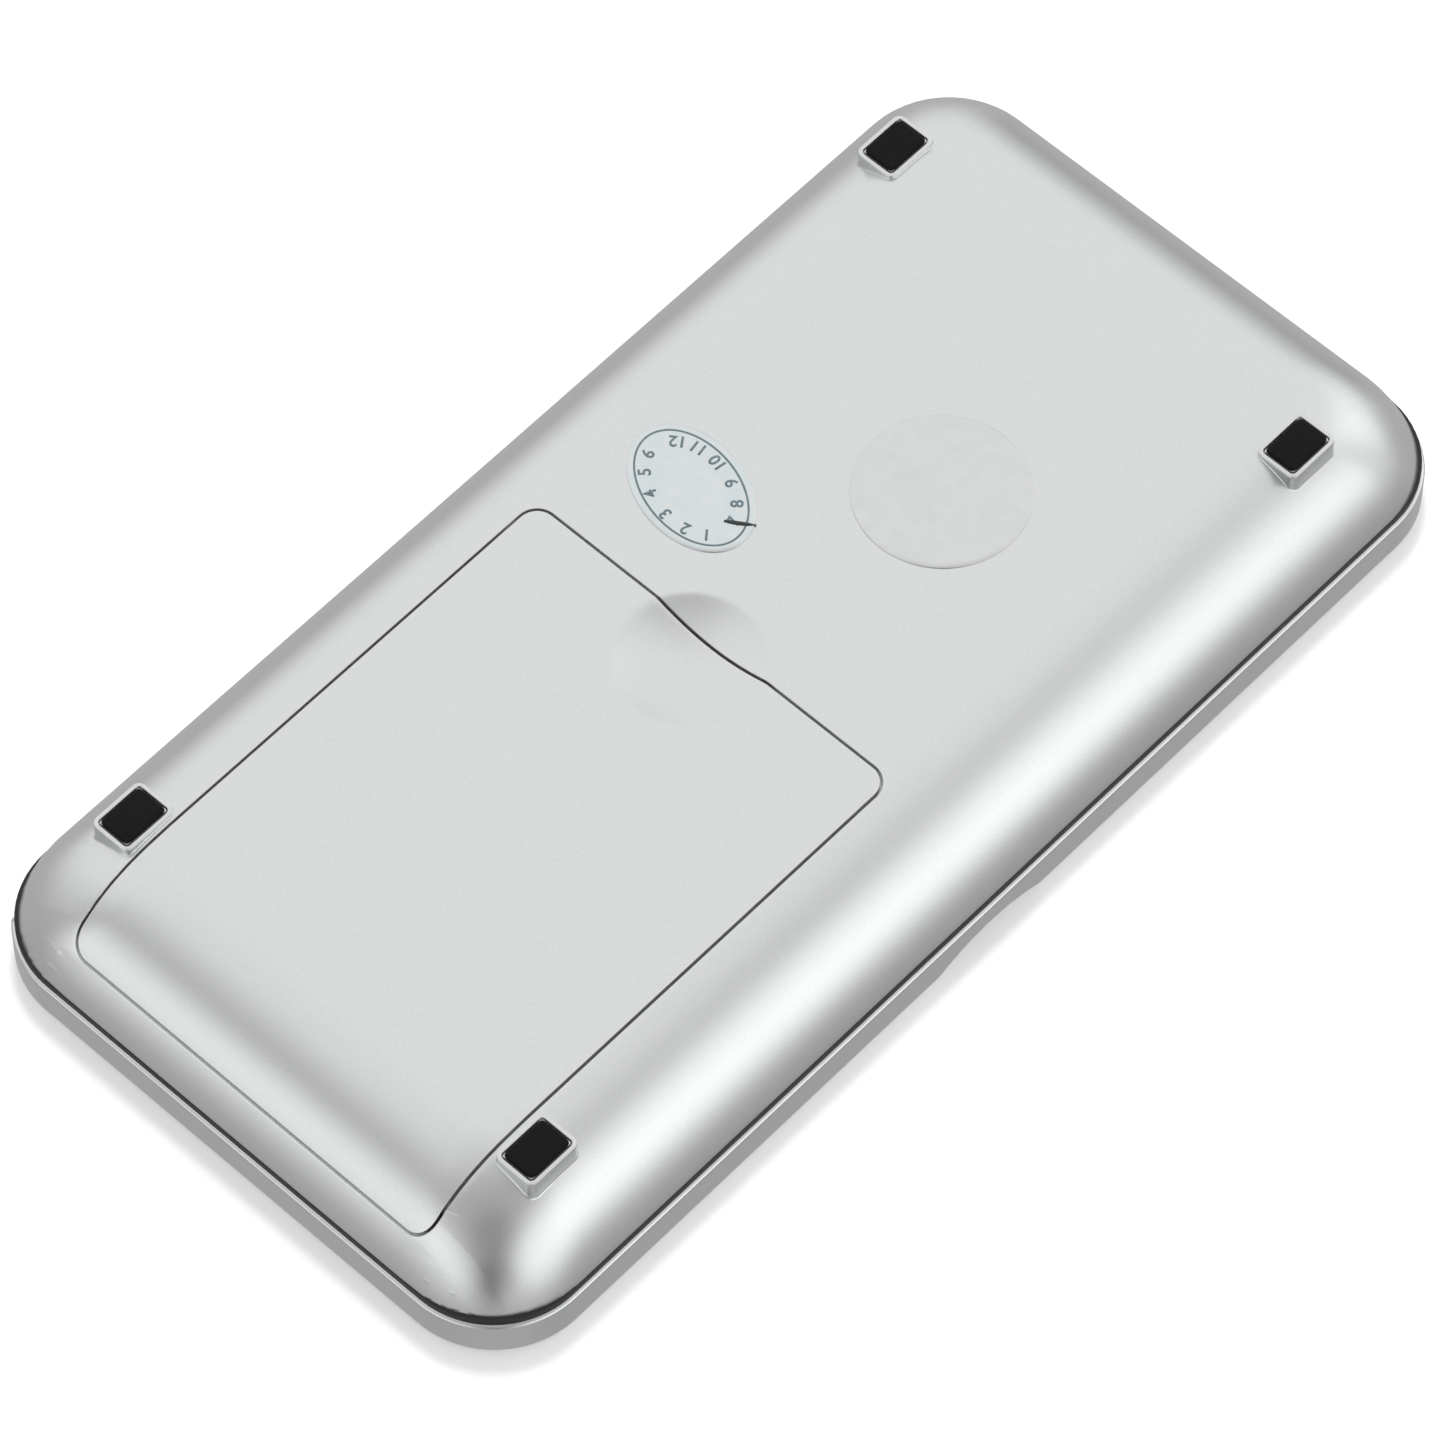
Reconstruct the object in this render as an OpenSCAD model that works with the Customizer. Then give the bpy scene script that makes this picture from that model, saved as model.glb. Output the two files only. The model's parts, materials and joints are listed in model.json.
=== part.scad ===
/* [Case outline] */
// Length over the lid
case_l = 130; // [118:1:142]
// Width over the lid
case_w = 66; // [60:1:72]
// Corner radius of the lid and the deck, seen from above
lid_corner_r = 9.8; // [9.2:0.1:11]

/* [Bottom shell] */
// Height of the rubber feet below the flat underside
foot_h = 0.5; // [0.4:0.1:0.8]
// Corner radius of the shell's edge, measured at the lid's outline
corner_r = 10.5; // [9.5:0.5:12]
// Height of the shell's top edge above the flat underside
shell_h = 9.9; // [9.5:0.1:10.2]
// Wall of the shell
wall = 1.4; // [1.2:0.1:1.6]
// Sideways half axis of the elliptical edge roll
roll_a = 12.5; // [11:0.5:13]
// Upright half axis of the elliptical edge roll
roll_b = 15.5; // [14:0.5:18]
// Corner radius of the flat underside
flat_corner_r = 5; // [3:0.5:6]
// How far the shell's top edge stays inside the lid's outline
edge_in = 0.4; // [0.3:0.1:0.6]

/* [Feet] */
// Distance from the case's ends to the feet, before their shift
foot_in_x = 14.8; // [14.4:0.1:16]
// Distance from the case's sides to the feet
foot_in_y = 8.25; // [8:0.05:8.5]
// How far the pattern of feet sits towards the battery end
foot_shift = 1; // [0.6:0.1:1.2]
// Length of a rubber pad
pad_l = 4.9; // [4.5:0.1:5.2]
// Width of a rubber pad
pad_w = 3.4; // [3.2:0.1:3.6]
// Thickness of a rubber pad
pad_t = 0.9; // [0.8:0.1:1.1]
// Width of the raised rim around a pad
pad_rim = 0.6; // [0.5:0.1:0.7]

/* [Battery door] */
// How far the door reaches past the inner end of the cell bays
door_in = 1.7; // [1.6:0.1:2]
// How far the door reaches past the cell bays at each side
door_lap = 0.9; // [0.6:0.1:1.1]
// Thickness of the door
door_t = 1.2; // [1:0.1:1.4]
// Height that the door wraps up the end roll
door_end_h = 5.4; // [5:0.1:6]
// Gap all round the door
door_gap = 0.25; // [0.15:0.05:0.3]
// Corner radius of the door
door_corner = 2; // [1.5:0.1:2.5]
// Angle that the door swings open
door_swing = 80; // [30:5:85]

/* [Thumb scoop] */
// Distance from the door's inner edge to the centre of the scoop
scoop_in = 2.9; // [2.5:0.1:3.5]
// Radius of the scoop's rim
scoop_r = 7.3; // [6.5:0.1:7.6]
// Depth of the scoop
scoop_d = 2.1; // [1.6:0.1:2.2]
// Material left behind the scoop
scoop_wall = 1; // [0.8:0.1:1.2]

/* [Cells] */
// Diameter of a cell
cell_d = 10.5; // [10:0.1:10.8]
// Length of a cell over its button
cell_l = 44.5; // [43:0.1:44.9]
// Diameter of a cell's button
button_d = 3.8; // [3:0.1:4.5]
// Height of a cell's button
button_h = 0.9; // [0.7:0.1:1.2]
// Distance from the case's side to a cell's axis
cell_in = 17.7; // [17.5:0.1:18]
// Clearance under and over a cell
cell_gap = 0.12; // [0.1:0.01:0.2]
// Free length of a bay beyond its cell, for plates and spring
bay_spare = 5.5; // [5:0.1:6]
// Distance from the case's end to the cell bays
bay_end = 10.7; // [10.5:0.1:11]

/* [Deck] */
// Thickness of the deck's top plate
deck_t = 1.05; // [1:0.05:1.3]
// Thickness of the deck's side wall
deck_wall = 1.2; // [1:0.1:1.4]
// Height of the dark flange between shell and lid
flange_t = 0.75; // [0.6:0.05:0.8]
// Gap between the flange and the lid's rim
flange_gap = 0.1; // [0.1:0.05:0.2]
// Thickness of the face plate
face_t = 0.3; // [0.2:0.05:0.3]

/* [Lid] */
// Thickness of the lid's top
lid_t = 1.6; // [1.4:0.1:2]
// Thickness of the lid's side wall
lid_wall = 1.3; // [1.1:0.1:1.4]
// Room between the deck's top and the lid
lid_room = 0.7; // [0.65:0.05:1.2]
// Gap between the deck's side and the lid's wall
lid_side_gap = 0.45; // [0.35:0.05:0.5]
// Edge radius of the lid's top
lid_edge_r = 0.8; // [0.4:0.1:1]
// Edge radius of the lid's rim
lid_rim_r = 0.3; // [0.2:0.05:0.4]
// Length of the thumb notch in the lid's front edge
notch_l = 15.6; // [12:0.2:16.4]
// Depth of the thumb notch, square to the edge
notch_d = 1.5; // [1.1:0.05:1.5]

/* [Hinge] */
// Radius of the hinge barrels
barrel_r = 1.6; // [1.5:0.05:1.7]
// Radius of the hinge pins
pin_r = 0.6; // [0.5:0.05:0.7]
// Running clearance of a pin in the lid's barrel
pin_play = 0.05; // [0.03:0.01:0.08]
// Distance from the case's ends to the hinge stations
hinge_in = 27; // [25:0.5:29]
// Length of a lid barrel
barrel_l = 9; // [7:0.5:10]
// Length of the shell lugs beside a lid barrel
lug_l = 3.5; // [3:0.5:4]
// Gap between barrel and lug
barrel_gap = 0.4; // [0.3:0.05:0.5]

/* [Weighing platform] */
// Distance from the case's end to the weighing platform
pan_end = 6.5; // [6.5:0.1:9]
// Distance from the case's sides to the weighing platform
pan_side = 6.5; // [6.5:0.1:9]
// Distance from the weighing platform to the line of the door's inner edge
pan_mid = 4.1; // [4:0.1:6]
// Thickness of the platform sheet
pan_t = 0.6; // [0.4:0.1:0.7]
// Depth of the platform's turned-down rim
pan_skirt = 1.4; // [1.2:0.1:1.5]
// Corner radius of the platform
pan_corner = 5; // [4:0.5:6]
// Gap round the platform
pan_gap = 0.3; // [0.3:0.05:0.5]
// Height of the platform above the deck
pan_rise = 0.35; // [0.2:0.05:0.4]
// Distance that the platform sinks at full load
pan_travel = 0.3; // [0.1:0.05:0.3]

/* [Load cell] */
// Distance from the platform's ends to the load cell's ends
beam_in = 6; // [5:0.1:8]
// Width of the load cell beam
beam_w = 10; // [9:0.5:12]
// Height of the load cell beam
beam_h = 6; // [5.5:0.1:6]
// Radius of the two bores that thin the beam
beam_bore_r = 2.1; // [1.8:0.1:2.2]

/* [Display and keys] */
// Length of the display glass
lcd_l = 40; // [36:0.5:42]
// Distance from the door's inner edge to the display's centre
lcd_in = 28.4; // [27.5:0.1:29]
// Distance between the keys
key_pitch = 9.5; // [9:0.1:9.6]
// Length of a key
key_l = 7; // [6:0.1:7.5]
// Width of a key
key_w = 4.4; // [4:0.1:4.6]
// Distance from the case's front side to the keys
key_in = 7.6; // [7.5:0.1:7.8]
// Distance from the door's inner edge to the middle key
key_mid = 22.9; // [22.6:0.1:23]
// Travel of a key
key_travel = 0.3; // [0.1:0.05:0.3]

/* [Hidden] */
$fn = 48;
thin = 0.01;                      // height of the slices that a rolled body is drawn over
over = 1;                         // how far a cutter runs past what it cuts
fit = 0.05;                       // gap between parts that seat on each other
roll_steps = 10;                  // slices in the edge roll

// Things that keep to the battery end, or to a side
bay_x1 = case_l / 2 - bay_end;
bay_x0 = bay_x1 - cell_l - bay_spare;
door_x = bay_x0 - door_in;
scoop_x = door_x + scoop_in;
lcd_x = door_x + lcd_in;
key_x = door_x + key_mid;
key_y = case_w / 2 - key_in;
cell_y = case_w / 2 - cell_in;
hinge_x = case_l / 2 - hinge_in;
pan_l = case_l / 2 + door_x - pan_end - pan_mid;
pan_w = case_w - 2 * pan_side;
beam_l = pan_l - 2 * beam_in;

flat_z = foot_h;
rim_z = flat_z + shell_h;
cell_z = flat_z + door_t + cell_gap + cell_d / 2;
deck_under = cell_z + cell_d / 2 + cell_gap;
deck_top = deck_under + deck_t;
lid_under = deck_top + lid_room;
lid_top = lid_under + lid_t;
lid_rim_z = rim_z + flange_t + flange_gap;

// The edge roll: how far the surface lies inside the lid's outline at height u over the flat
function roll_sin(u) = 1 - u / roll_b;
function roll_cos(u) = sqrt(1 - pow(roll_sin(u), 2));
function roll_in(u) = edge_in + roll_a * (roll_cos(shell_h) - roll_cos(u));
roll_run = roll_in(0) - edge_in;
function roll_corner(u) =
    flat_corner_r + (corner_r - edge_in - flat_corner_r) * (1 - (roll_in(u) - edge_in) / roll_run);
// Height over the flat of slice k, at even steps of the ellipse's angle
rim_angle = asin(roll_sin(shell_h));
function slice_u(k) = roll_b * (1 - sin(rim_angle + (90 - rim_angle) * k / roll_steps));
// Height over the flat where the roll has come in to a distance from the lid's outline
function roll_u(inset) =
    roll_b * (1 - sqrt(1 - pow(roll_cos(shell_h) - (inset - edge_in) / roll_a, 2)));

foot_x = [foot_shift + foot_in_x - case_l / 2, foot_shift - foot_in_x + case_l / 2];
foot_y = [foot_in_y - case_w / 2, case_w / 2 - foot_in_y];
FEET = [[foot_x[0], foot_y[0]], [foot_x[0], foot_y[1]], [foot_x[1], foot_y[0]], [foot_x[1], foot_y[1]]];
boss_z = flat_z / 2;              // underside of the raised rim round a pad
pad_corner = 0.5;
head_r = 1.4;                     // case screw heads, hidden above the pads
head_h = 1.1;
shank_r = 0.75;
shank_gap = 0.15;
pillar_r = 2.3;
pillar_split = 5.6;               // where a shell pillar meets the deck's pillar
head_z = pad_t + fit;
screw_end = pillar_split + 4.6;

ledge_t = 1;                      // floor of the door's recess
recess_d = door_t + 0.08;         // depth of that floor's face below the outer surface
recess_rim = 1.4;
door_end_z = flat_z + door_end_h;
door_pivot_x = case_l / 2 - roll_in(door_end_h);
tab_w = 5;                        // tongues that hold the door's end behind the shell's edge
tab_t = 0.8;
tab_h = 1.2;
tab_y = 15;
tab_in = 2.1;                     // tongue's outer face behind the outer surface
tab_room = 0.5;

scoop_ball = (pow(scoop_r, 2) + pow(scoop_d, 2)) / (2 * scoop_d);
scoop_z = flat_z + scoop_d - scoop_ball;
scoop_play = 0.35;

bay_wall = 1;
bay_side = 0.3;                   // room beside a cell
door_w = 2 * (cell_y + cell_d / 2 + bay_side + door_lap);
bay_top = deck_under - fit;
bay_in = cell_y - cell_d / 2 - bay_side;      // inner face of a bay's inner wall
plate_t = 0.4;
plate_w = 8;
plate_h = 8.5;
coil_wire = 0.3;
coil_turns = 3;

deck_out = lid_wall + lid_side_gap;
deck_l = case_l - 2 * deck_out;
deck_w = case_w - 2 * deck_out;
deck_r = lid_corner_r - deck_out;
flange_proud = 0.1;               // the flange stands a little proud of the shell
flange_in = edge_in - flange_proud;
hinge_y = case_w / 2 - barrel_r - 0.4;
hinge_z = rim_z + 0.5;
hinge_clear = 0.25;               // swept room round a lid barrel
station_half = barrel_l / 2 + barrel_gap;
hinge_half = hinge_x + station_half + lug_l;
hinge_step = hinge_y - barrel_r - hinge_clear;
rear_gap = hinge_z + barrel_r + 0.4;

pan_x = -case_l / 2 + pan_end + pan_l / 2;
pan_top = deck_top + pan_rise;
well_floor = rim_z + 1;
well_open_l = 15;                 // opening in the well's floor for the carrier's boss
well_open_w = 12;
hinge_zone = hinge_half + 0.4;
carrier_top = pan_top - pan_t - fit;
carrier_t = 1.2;
carrier_side = 1.6;
beam_z = flat_z + wall + 1.5;
beam_x = pan_x;
beam_top = beam_z + beam_h;
beam_bore_pitch = beam_l * 2 / 9;
beam_screw_pitch = beam_l * 2 / 15;
block_l = beam_l * 13 / 45;       // length of the beam's clamped ends
free_x = beam_x - (beam_l - block_l) / 2;
fixed_x = beam_x + (beam_l - block_l) / 2;
beam_screw_r = 1.2;
cheese_r = 2.1;
cheese_h = 0.9;

board_z = 8;
board_t = 1;
board_x0 = bay_x0 - 0.9;
board_x1 = case_l / 2 - 7.5;
board_gap = 0.3;                  // between the board and the bays
board_w = 2 * (cell_y - cell_d / 2 - bay_side - bay_wall - board_gap);
lcd_w = board_w - 1.3;
light_t = 1.5;
glass_t = 1.8;
light_z = board_z + board_t;
glass_z = light_z + light_t + fit;
zebra_w = 1.6;
window_t = 0.5;
window_margin = 2.2;
post_r = 1.3;
post_z = flat_z + roll_u(case_w / 2 - key_y - post_r) + 0.5;
key_board_x0 = door_x - 0.1;
key_board_x1 = foot_x[1] - pillar_r - 0.5;
switch_w = 4.5;
key_board_y0 = key_y - switch_w / 2 - 0.55;
key_board_y1 = key_y + switch_w / 2 + 0.75;
switch_h = 2;
plunger_r = 0.9;
key_hole = 0.2;
key_flange = 0.6;
key_flange_t = 0.5;
key_proud = 0.15;                 // key tops over the face plate
key_flange_z = deck_under - fit - key_flange_t;
stem_z = light_z + switch_h + 0.5;
face_x0 = door_x - 0.1;
face_x1 = case_l / 2 - 4.5;
face_w = deck_w - 5;
face_corner = 4;

key_r = 1;
window_l = lcd_l - 2 * window_margin + 2;
window_w = lcd_w - 2 * window_margin + 2;
cell_at = plate_t + 0.4;          // the button's face, from the end of the bay
beam_slot = 1.6;
gauge_t = 0.1;
gauge_l = 4.4;
gauge_w = 0.6 * beam_w;
chip_r = 4.6;
chip_h = 1.1;
crystal_r = 1.5;
crystal_l = 6;
crystal_off = lcd_l / 2 - 9;      // from the display's centre
tab_reach = 1.2;                  // how far a contact's tab lies over the board
lead_r = 0.4;
ribbon_x = door_x - 5.1;
ribbon_w = 3.6;
ribbon_t = 0.15;
notch_x = 1.2;                    // the notch sits a little off the middle
web_in = 0.6;                     // web of a lid barrel, in front of and behind the hinge axis
web_out = 0.9;

label_t = 0.08;
round_label_r = 8.4;
round_label_x = door_x - 26.1;
round_label_y = -4.4;
oval_x = door_x - 10.82;
oval_y = case_w / 2 - 20.46;
oval_a = 7.65;
oval_b = 5.11;
oval_turn = 15.3;

silver = "silver";
graphite = "dimgray";

// A plate with round corners, from z0 to z1
module plate(l, w, r, z0, z1) {
    translate([-l / 2 + r, -w / 2, z0]) cube([l - 2 * r, w, z1 - z0]);
    translate([-l / 2, -w / 2 + r, z0]) cube([l, w - 2 * r, z1 - z0]);
    for (sx = [-1, 1], sy = [-1, 1])
        translate([sx * (l / 2 - r), sy * (w / 2 - r), z0]) cylinder(r = r, h = z1 - z0);
}

// The shell's soft outer form, moved inwards by side_in and up by lift
module rolled_body(side_in, lift) {
    hull()
        for (k = [0 : roll_steps]) {
            inset = roll_in(slice_u(k)) + side_in;
            z = flat_z + lift + slice_u(k) - (k == 0 ? thin : 0);
            r = max(roll_corner(slice_u(k)) - side_in, 0.5);
            for (sx = [-1, 1], sy = [-1, 1])
                translate([sx * (case_l / 2 - inset - r), sy * (case_w / 2 - inset - r), z])
                    cylinder(r = r, h = thin, $fn = 48);
        }
}

// Everything inside the door's outline, grown by g: round corners in plan and at the end edge
module door_zone(g) {
    run = case_l / 2 + over - door_x;
    half = door_w / 2 + g;
    r = door_corner + g;
    end_z = door_end_z + g;
    intersection() {
        union() {
            translate([door_x - g + r, -half, -over]) cube([run, 2 * half, end_z + 2 * over]);
            translate([door_x - g, -half + r, -over]) cube([run, 2 * half - 2 * r, end_z + 2 * over]);
            for (s = [-1, 1])
                translate([door_x - g + r, s * (half - r), -over]) cylinder(r = r, h = end_z + 2 * over);
        }
        union() {
            translate([door_x - g - over, -half, -over]) cube([run + 2 * over, 2 * half, end_z - r + over]);
            translate([door_x - g - over, -half + r, -over])
                cube([run + 2 * over, 2 * half - 2 * r, end_z + over]);
            for (s = [-1, 1])
                translate([door_x - g - over, s * (half - r), end_z - r])
                    rotate([0, 90, 0]) cylinder(r = r, h = run + 2 * over);
        }
    }
}

// The two cell bays, grown by g
module bays(g, z0, z1) {
    half = cell_d / 2 + bay_side + g;
    for (s = [-1, 1])
        translate([bay_x0 - g, s * cell_y - half, z0])
            cube([bay_x1 - bay_x0 + 2 * g, 2 * half, z1 - z0]);
}

module door_tabs(g) {
    for (s = [-1, 1])
        translate([door_pivot_x - tab_in - tab_t - g, s * tab_y - tab_w / 2 - g, door_end_z - 1.4])
            cube([tab_t + 2 * g, tab_w + 2 * g, tab_h + 1.4 + g]);
}

module hinge_cylinder(x0, x1, r) {
    translate([x0, hinge_y, hinge_z]) rotate([0, 90, 0]) cylinder(r = r, h = x1 - x0);
}

module bottom_shell() color(silver) {
    difference() {
        union() {
            difference() {
                rolled_body(0, 0);
                rolled_body(wall, wall);
            }
            // floor and rim of the door's recess, with the well behind the scoop
            intersection() {
                rolled_body(0, 0);
                union() {
                    difference() {
                        door_zone(door_gap + recess_rim);
                        rolled_body(recess_d + ledge_t, recess_d + ledge_t);
                    }
                    intersection() {
                        translate([scoop_x, 0, scoop_z])
                            sphere(r = scoop_ball + scoop_wall + scoop_play + ledge_t);
                        translate([scoop_x - 2 * scoop_r, -2 * scoop_r, 0])
                            cube([4 * scoop_r, 4 * scoop_r, flat_z + scoop_ball]);
                    }
                    bays(bay_wall, flat_z + recess_d, bay_top);
                }
            }
            bays(bay_wall, flat_z + recess_d + ledge_t, bay_top);
            for (f = FEET) {
                translate([f[0], f[1], 0])
                    plate(pad_l + 2 * pad_rim, pad_w + 2 * pad_rim, pad_corner + pad_rim / 2, boss_z,
                        2 * wall);
                translate([f[0], f[1], boss_z + pad_rim])
                    cylinder(r = pillar_r, h = pillar_split - boss_z - pad_rim);
            }
            // plinth under the fixed end of the load cell
            translate([fixed_x - block_l / 2, -beam_w / 2, flat_z + wall / 2])
                cube([block_l, beam_w, beam_z - flat_z - wall / 2]);
            // boss of the overload screw
            translate([free_x, 0, flat_z + wall / 2]) cylinder(r = 2.2, h = wall + 0.2);
            // rests under the main board, on the bays' inner walls
            for (x = [board_x0 + 1, board_x1 - 3], s = [-1, 1])
                translate([x, s * (board_w / 2 - 0.7) - 1.1, flat_z + recess_d + ledge_t / 2])
                    cube([2, 2.2, board_z - flat_z - recess_d - ledge_t / 2]);
            // posts under the key board
            for (x = [key_x - 1.5 * key_pitch, key_x + 1.5 * key_pitch])
                translate([x, -key_y, post_z]) cylinder(r = post_r, h = board_z - post_z);
            // seat of the hinge along the rear wall
            translate([-hinge_half, hinge_step - deck_wall, rim_z - 2.6])
                cube([2 * hinge_half, hinge_y - hinge_step + deck_wall, 2.6]);
            hinge_cylinder(station_half - hinge_x, hinge_x - station_half, barrel_r);
            hinge_cylinder(-hinge_half, -hinge_half + lug_l, barrel_r);
            hinge_cylinder(hinge_half - lug_l, hinge_half, barrel_r);
        }
        difference() {
            door_zone(door_gap);
            rolled_body(recess_d, recess_d);
        }
        bays(0, 0, bay_top + over);
        // slots for the contact plates' tabs
        for (s = [-1, 1])
            translate([bay_x0, s > 0 ? board_w / 2 : -bay_in - over, board_z + board_t - fit]) {
                cube([plate_t + fit, bay_in + over - board_w / 2, bay_top]);
                translate([bay_x1 - bay_x0 - plate_t - fit, 0, 0])
                    cube([plate_t + fit, bay_in + over - board_w / 2, bay_top]);
            }
        translate([scoop_x, 0, scoop_z]) {
            sphere(r = scoop_ball);
            intersection() {
                sphere(r = scoop_ball + scoop_wall + scoop_play);
                translate([door_x - door_gap - scoop_x, -2 * scoop_r, 0])
                    cube([4 * scoop_r, 4 * scoop_r, 2 * scoop_ball]);
            }
        }
        door_tabs(tab_room);
        translate([0, 0, -tab_room]) door_tabs(tab_room);
        for (f = FEET) translate([f[0], f[1], 0]) {
            plate(pad_l + 2 * fit, pad_w + 2 * fit, pad_corner + fit, -over, head_z);
            translate([0, 0, head_z - fit]) cylinder(r = head_r + shank_gap, h = head_h + 2 * fit);
            cylinder(r = shank_r + shank_gap, h = pillar_split + over);
        }
        for (s = [-1, 1])
            translate([fixed_x + s * beam_screw_pitch / 2, 0, flat_z + wall / 2 + 0.2])
                cylinder(r = beam_screw_r, h = beam_z);
        translate([free_x, 0, flat_z + 0.6]) cylinder(r = 0.8, h = beam_z);
        for (s = [-1, 1]) {
            hinge_cylinder(s * hinge_x - station_half, s * hinge_x + station_half, barrel_r + hinge_clear);
            hinge_cylinder(s * hinge_x - station_half - lug_l, s * hinge_x + station_half + lug_l, pin_r);
        }
    }
}

module battery_door() color(silver) {
    difference() {
        union() {
            intersection() {
                difference() {
                    rolled_body(0, 0);
                    rolled_body(door_t, door_t);
                }
                door_zone(0);
            }
            intersection() {
                translate([scoop_x, 0, scoop_z]) sphere(r = scoop_ball + scoop_wall);
                translate([door_x, -2 * scoop_r, flat_z + door_t / 2])
                    cube([4 * scoop_r, 4 * scoop_r, scoop_ball]);
            }
            intersection() {
                door_tabs(0);
                rolled_body(door_t / 2, door_t / 2);
            }
        }
        translate([scoop_x, 0, scoop_z]) sphere(r = scoop_ball);
    }
}

module deck() color(graphite) {
    difference() {
        union() {
            difference() {
                union() {
                    plate(case_l - 2 * flange_in, case_w - 2 * flange_in, lid_corner_r - flange_in,
                          rim_z, rim_z + flange_t);
                    plate(deck_l, deck_w, deck_r, rim_z, deck_top);
                }
                plate(deck_l - 2 * deck_wall, deck_w - 2 * deck_wall, deck_r - deck_wall,
                      rim_z - over, deck_under);
                translate([-hinge_zone, hinge_step, rim_z - over])
                    cube([2 * hinge_zone, case_w, deck_top - rim_z + 2 * over]);
            }
            // step in the rear wall, in front of the hinge
            translate([-hinge_zone - deck_wall, hinge_step - deck_wall, rim_z])
                cube([2 * (hinge_zone + deck_wall), deck_wall, deck_top - rim_z]);
            for (s = [-1, 1])
                translate([s > 0 ? hinge_zone : -hinge_zone - deck_wall, hinge_step - deck_wall, rim_z])
                    cube([deck_wall, deck_w / 2 - hinge_step + deck_wall, deck_top - rim_z]);
            // well of the weighing platform
            translate([pan_x, 0, 0])
                plate(pan_l + 2 * (pan_gap + deck_wall), pan_w + 2 * (pan_gap + deck_wall),
                      pan_corner + pan_gap + deck_wall, rim_z, deck_top);
            for (f = FEET)
                translate([f[0], f[1], pillar_split + fit])
                    cylinder(r = pillar_r, h = (f[0] < pan_x ? rim_z : deck_under) + fit - pillar_split);
        }
        translate([pan_x, 0, 0])
            plate(pan_l + 2 * pan_gap, pan_w + 2 * pan_gap, pan_corner + pan_gap, well_floor,
                deck_top + over);
        translate([free_x, 0, 0]) plate(well_open_l, well_open_w, 1, rim_z - over, well_floor + over);
        for (f = FEET)
            translate([f[0], f[1], pillar_split])
                cylinder(r = shank_r + fit, h = screw_end + fit - pillar_split);
        translate([lcd_x, 0, 0]) {
            plate(window_l - 2, window_w - 2, 0.6, deck_under - over, deck_top + over);
            plate(window_l + 2 * fit, window_w + 2 * fit, 0.8,
                  deck_top + face_t - window_t - fit, deck_top + over);
        }
        for (k = [0 : 4])
            translate([key_at(k), -key_y, 0])
                plate(key_l + 2 * key_hole, key_w + 2 * key_hole, key_r + key_hole, deck_under - over,
                    deck_top + over);
    }
}

// The lid's round-cornered block with a softened rim and a rounded top edge
function rim_arc(half) =
    [for (a = [0 : 30 : 90]) [half - lid_rim_r * (1 - sin(a)), lid_rim_r * (1 - cos(a))]];
function edge_arc(half) =
    [for (a = [0 : 15 : 90]) [half - lid_edge_r * (1 - cos(a)), lid_top - lid_rim_z - lid_edge_r * (1 - sin(a))]];
module edge_run(length, half) {
    arc = concat(rim_arc(half), edge_arc(half));
    translate([0, 0, -length / 2]) linear_extrude(length)
        polygon(concat(arc, [for (k = [len(arc) - 1 : -1 : 0]) [-arc[k][0], arc[k][1]]]));
}
module lid_block() translate([0, 0, lid_rim_z]) {
    for (sx = [-1, 1], sy = [-1, 1])
        translate([sx * (case_l / 2 - lid_corner_r), sy * (case_w / 2 - lid_corner_r), 0])
            rotate_extrude()
                polygon(concat([[0, 0]], rim_arc(lid_corner_r), edge_arc(lid_corner_r),
                    [[0, lid_top - lid_rim_z]]));
    rotate([90, 0, 90]) edge_run(case_l - 2 * lid_corner_r, case_w / 2);
    rotate([90, 0, 0]) edge_run(case_w - 2 * lid_corner_r, case_l / 2);
}

module lid() color(silver) {
    notch_ball = (pow(notch_l / 2, 2) + pow(notch_d, 2)) / (2 * notch_d);
    notch_off = (notch_ball - notch_d) / sqrt(2);
    difference() {
        union() {
            difference() {
                lid_block();
                plate(case_l - 2 * lid_wall, case_w - 2 * lid_wall, lid_corner_r - lid_wall,
                    lid_rim_z - over, lid_under);
                translate([-case_l, hinge_y - 0.6, lid_rim_z - over])
                    cube([2 * case_l, case_w, rear_gap - lid_rim_z + over]);
                translate([notch_x, -case_w / 2 - notch_off, lid_top + notch_off])
                    sphere(r = notch_ball, $fn = 96);
            }
            for (s = [-1, 1]) {
                hinge_cylinder(s * hinge_x - barrel_l / 2, s * hinge_x + barrel_l / 2, barrel_r);
                translate([s * hinge_x - barrel_l / 2, hinge_y - web_in, hinge_z])
                    cube([barrel_l, web_in + web_out, lid_under + lid_t / 2 - hinge_z]);
            }
        }
        hinge_cylinder(-hinge_half, hinge_half, pin_r + pin_play);
    }
}

module hinge_pin(s) color("lightgray")
    hinge_cylinder(s * hinge_x - station_half - lug_l, s * hinge_x + station_half + lug_l, pin_r);
module hinge_pin_left() hinge_pin(-1);
module hinge_pin_right() hinge_pin(1);

module foot_pad(k) color("black") translate([FEET[k][0], FEET[k][1], 0])
    plate(pad_l, pad_w, pad_corner, 0, pad_t);
module foot_pad_front_left() foot_pad(0);
module foot_pad_rear_left() foot_pad(1);
module foot_pad_front_right() foot_pad(2);
module foot_pad_rear_right() foot_pad(3);

module case_screw(k) color("darkgray") translate([FEET[k][0], FEET[k][1], head_z]) difference() {
    union() {
        cylinder(r = head_r, h = head_h);
        cylinder(r = shank_r, h = screw_end - head_z);
    }
    for (a = [0, 90]) rotate([0, 0, a]) translate([-0.8, -0.18, -over]) cube([1.6, 0.36, over + 0.6]);
}
module case_screw_front_left() case_screw(0);
module case_screw_rear_left() case_screw(1);
module case_screw_front_right() case_screw(2);
module case_screw_rear_right() case_screw(3);

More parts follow.
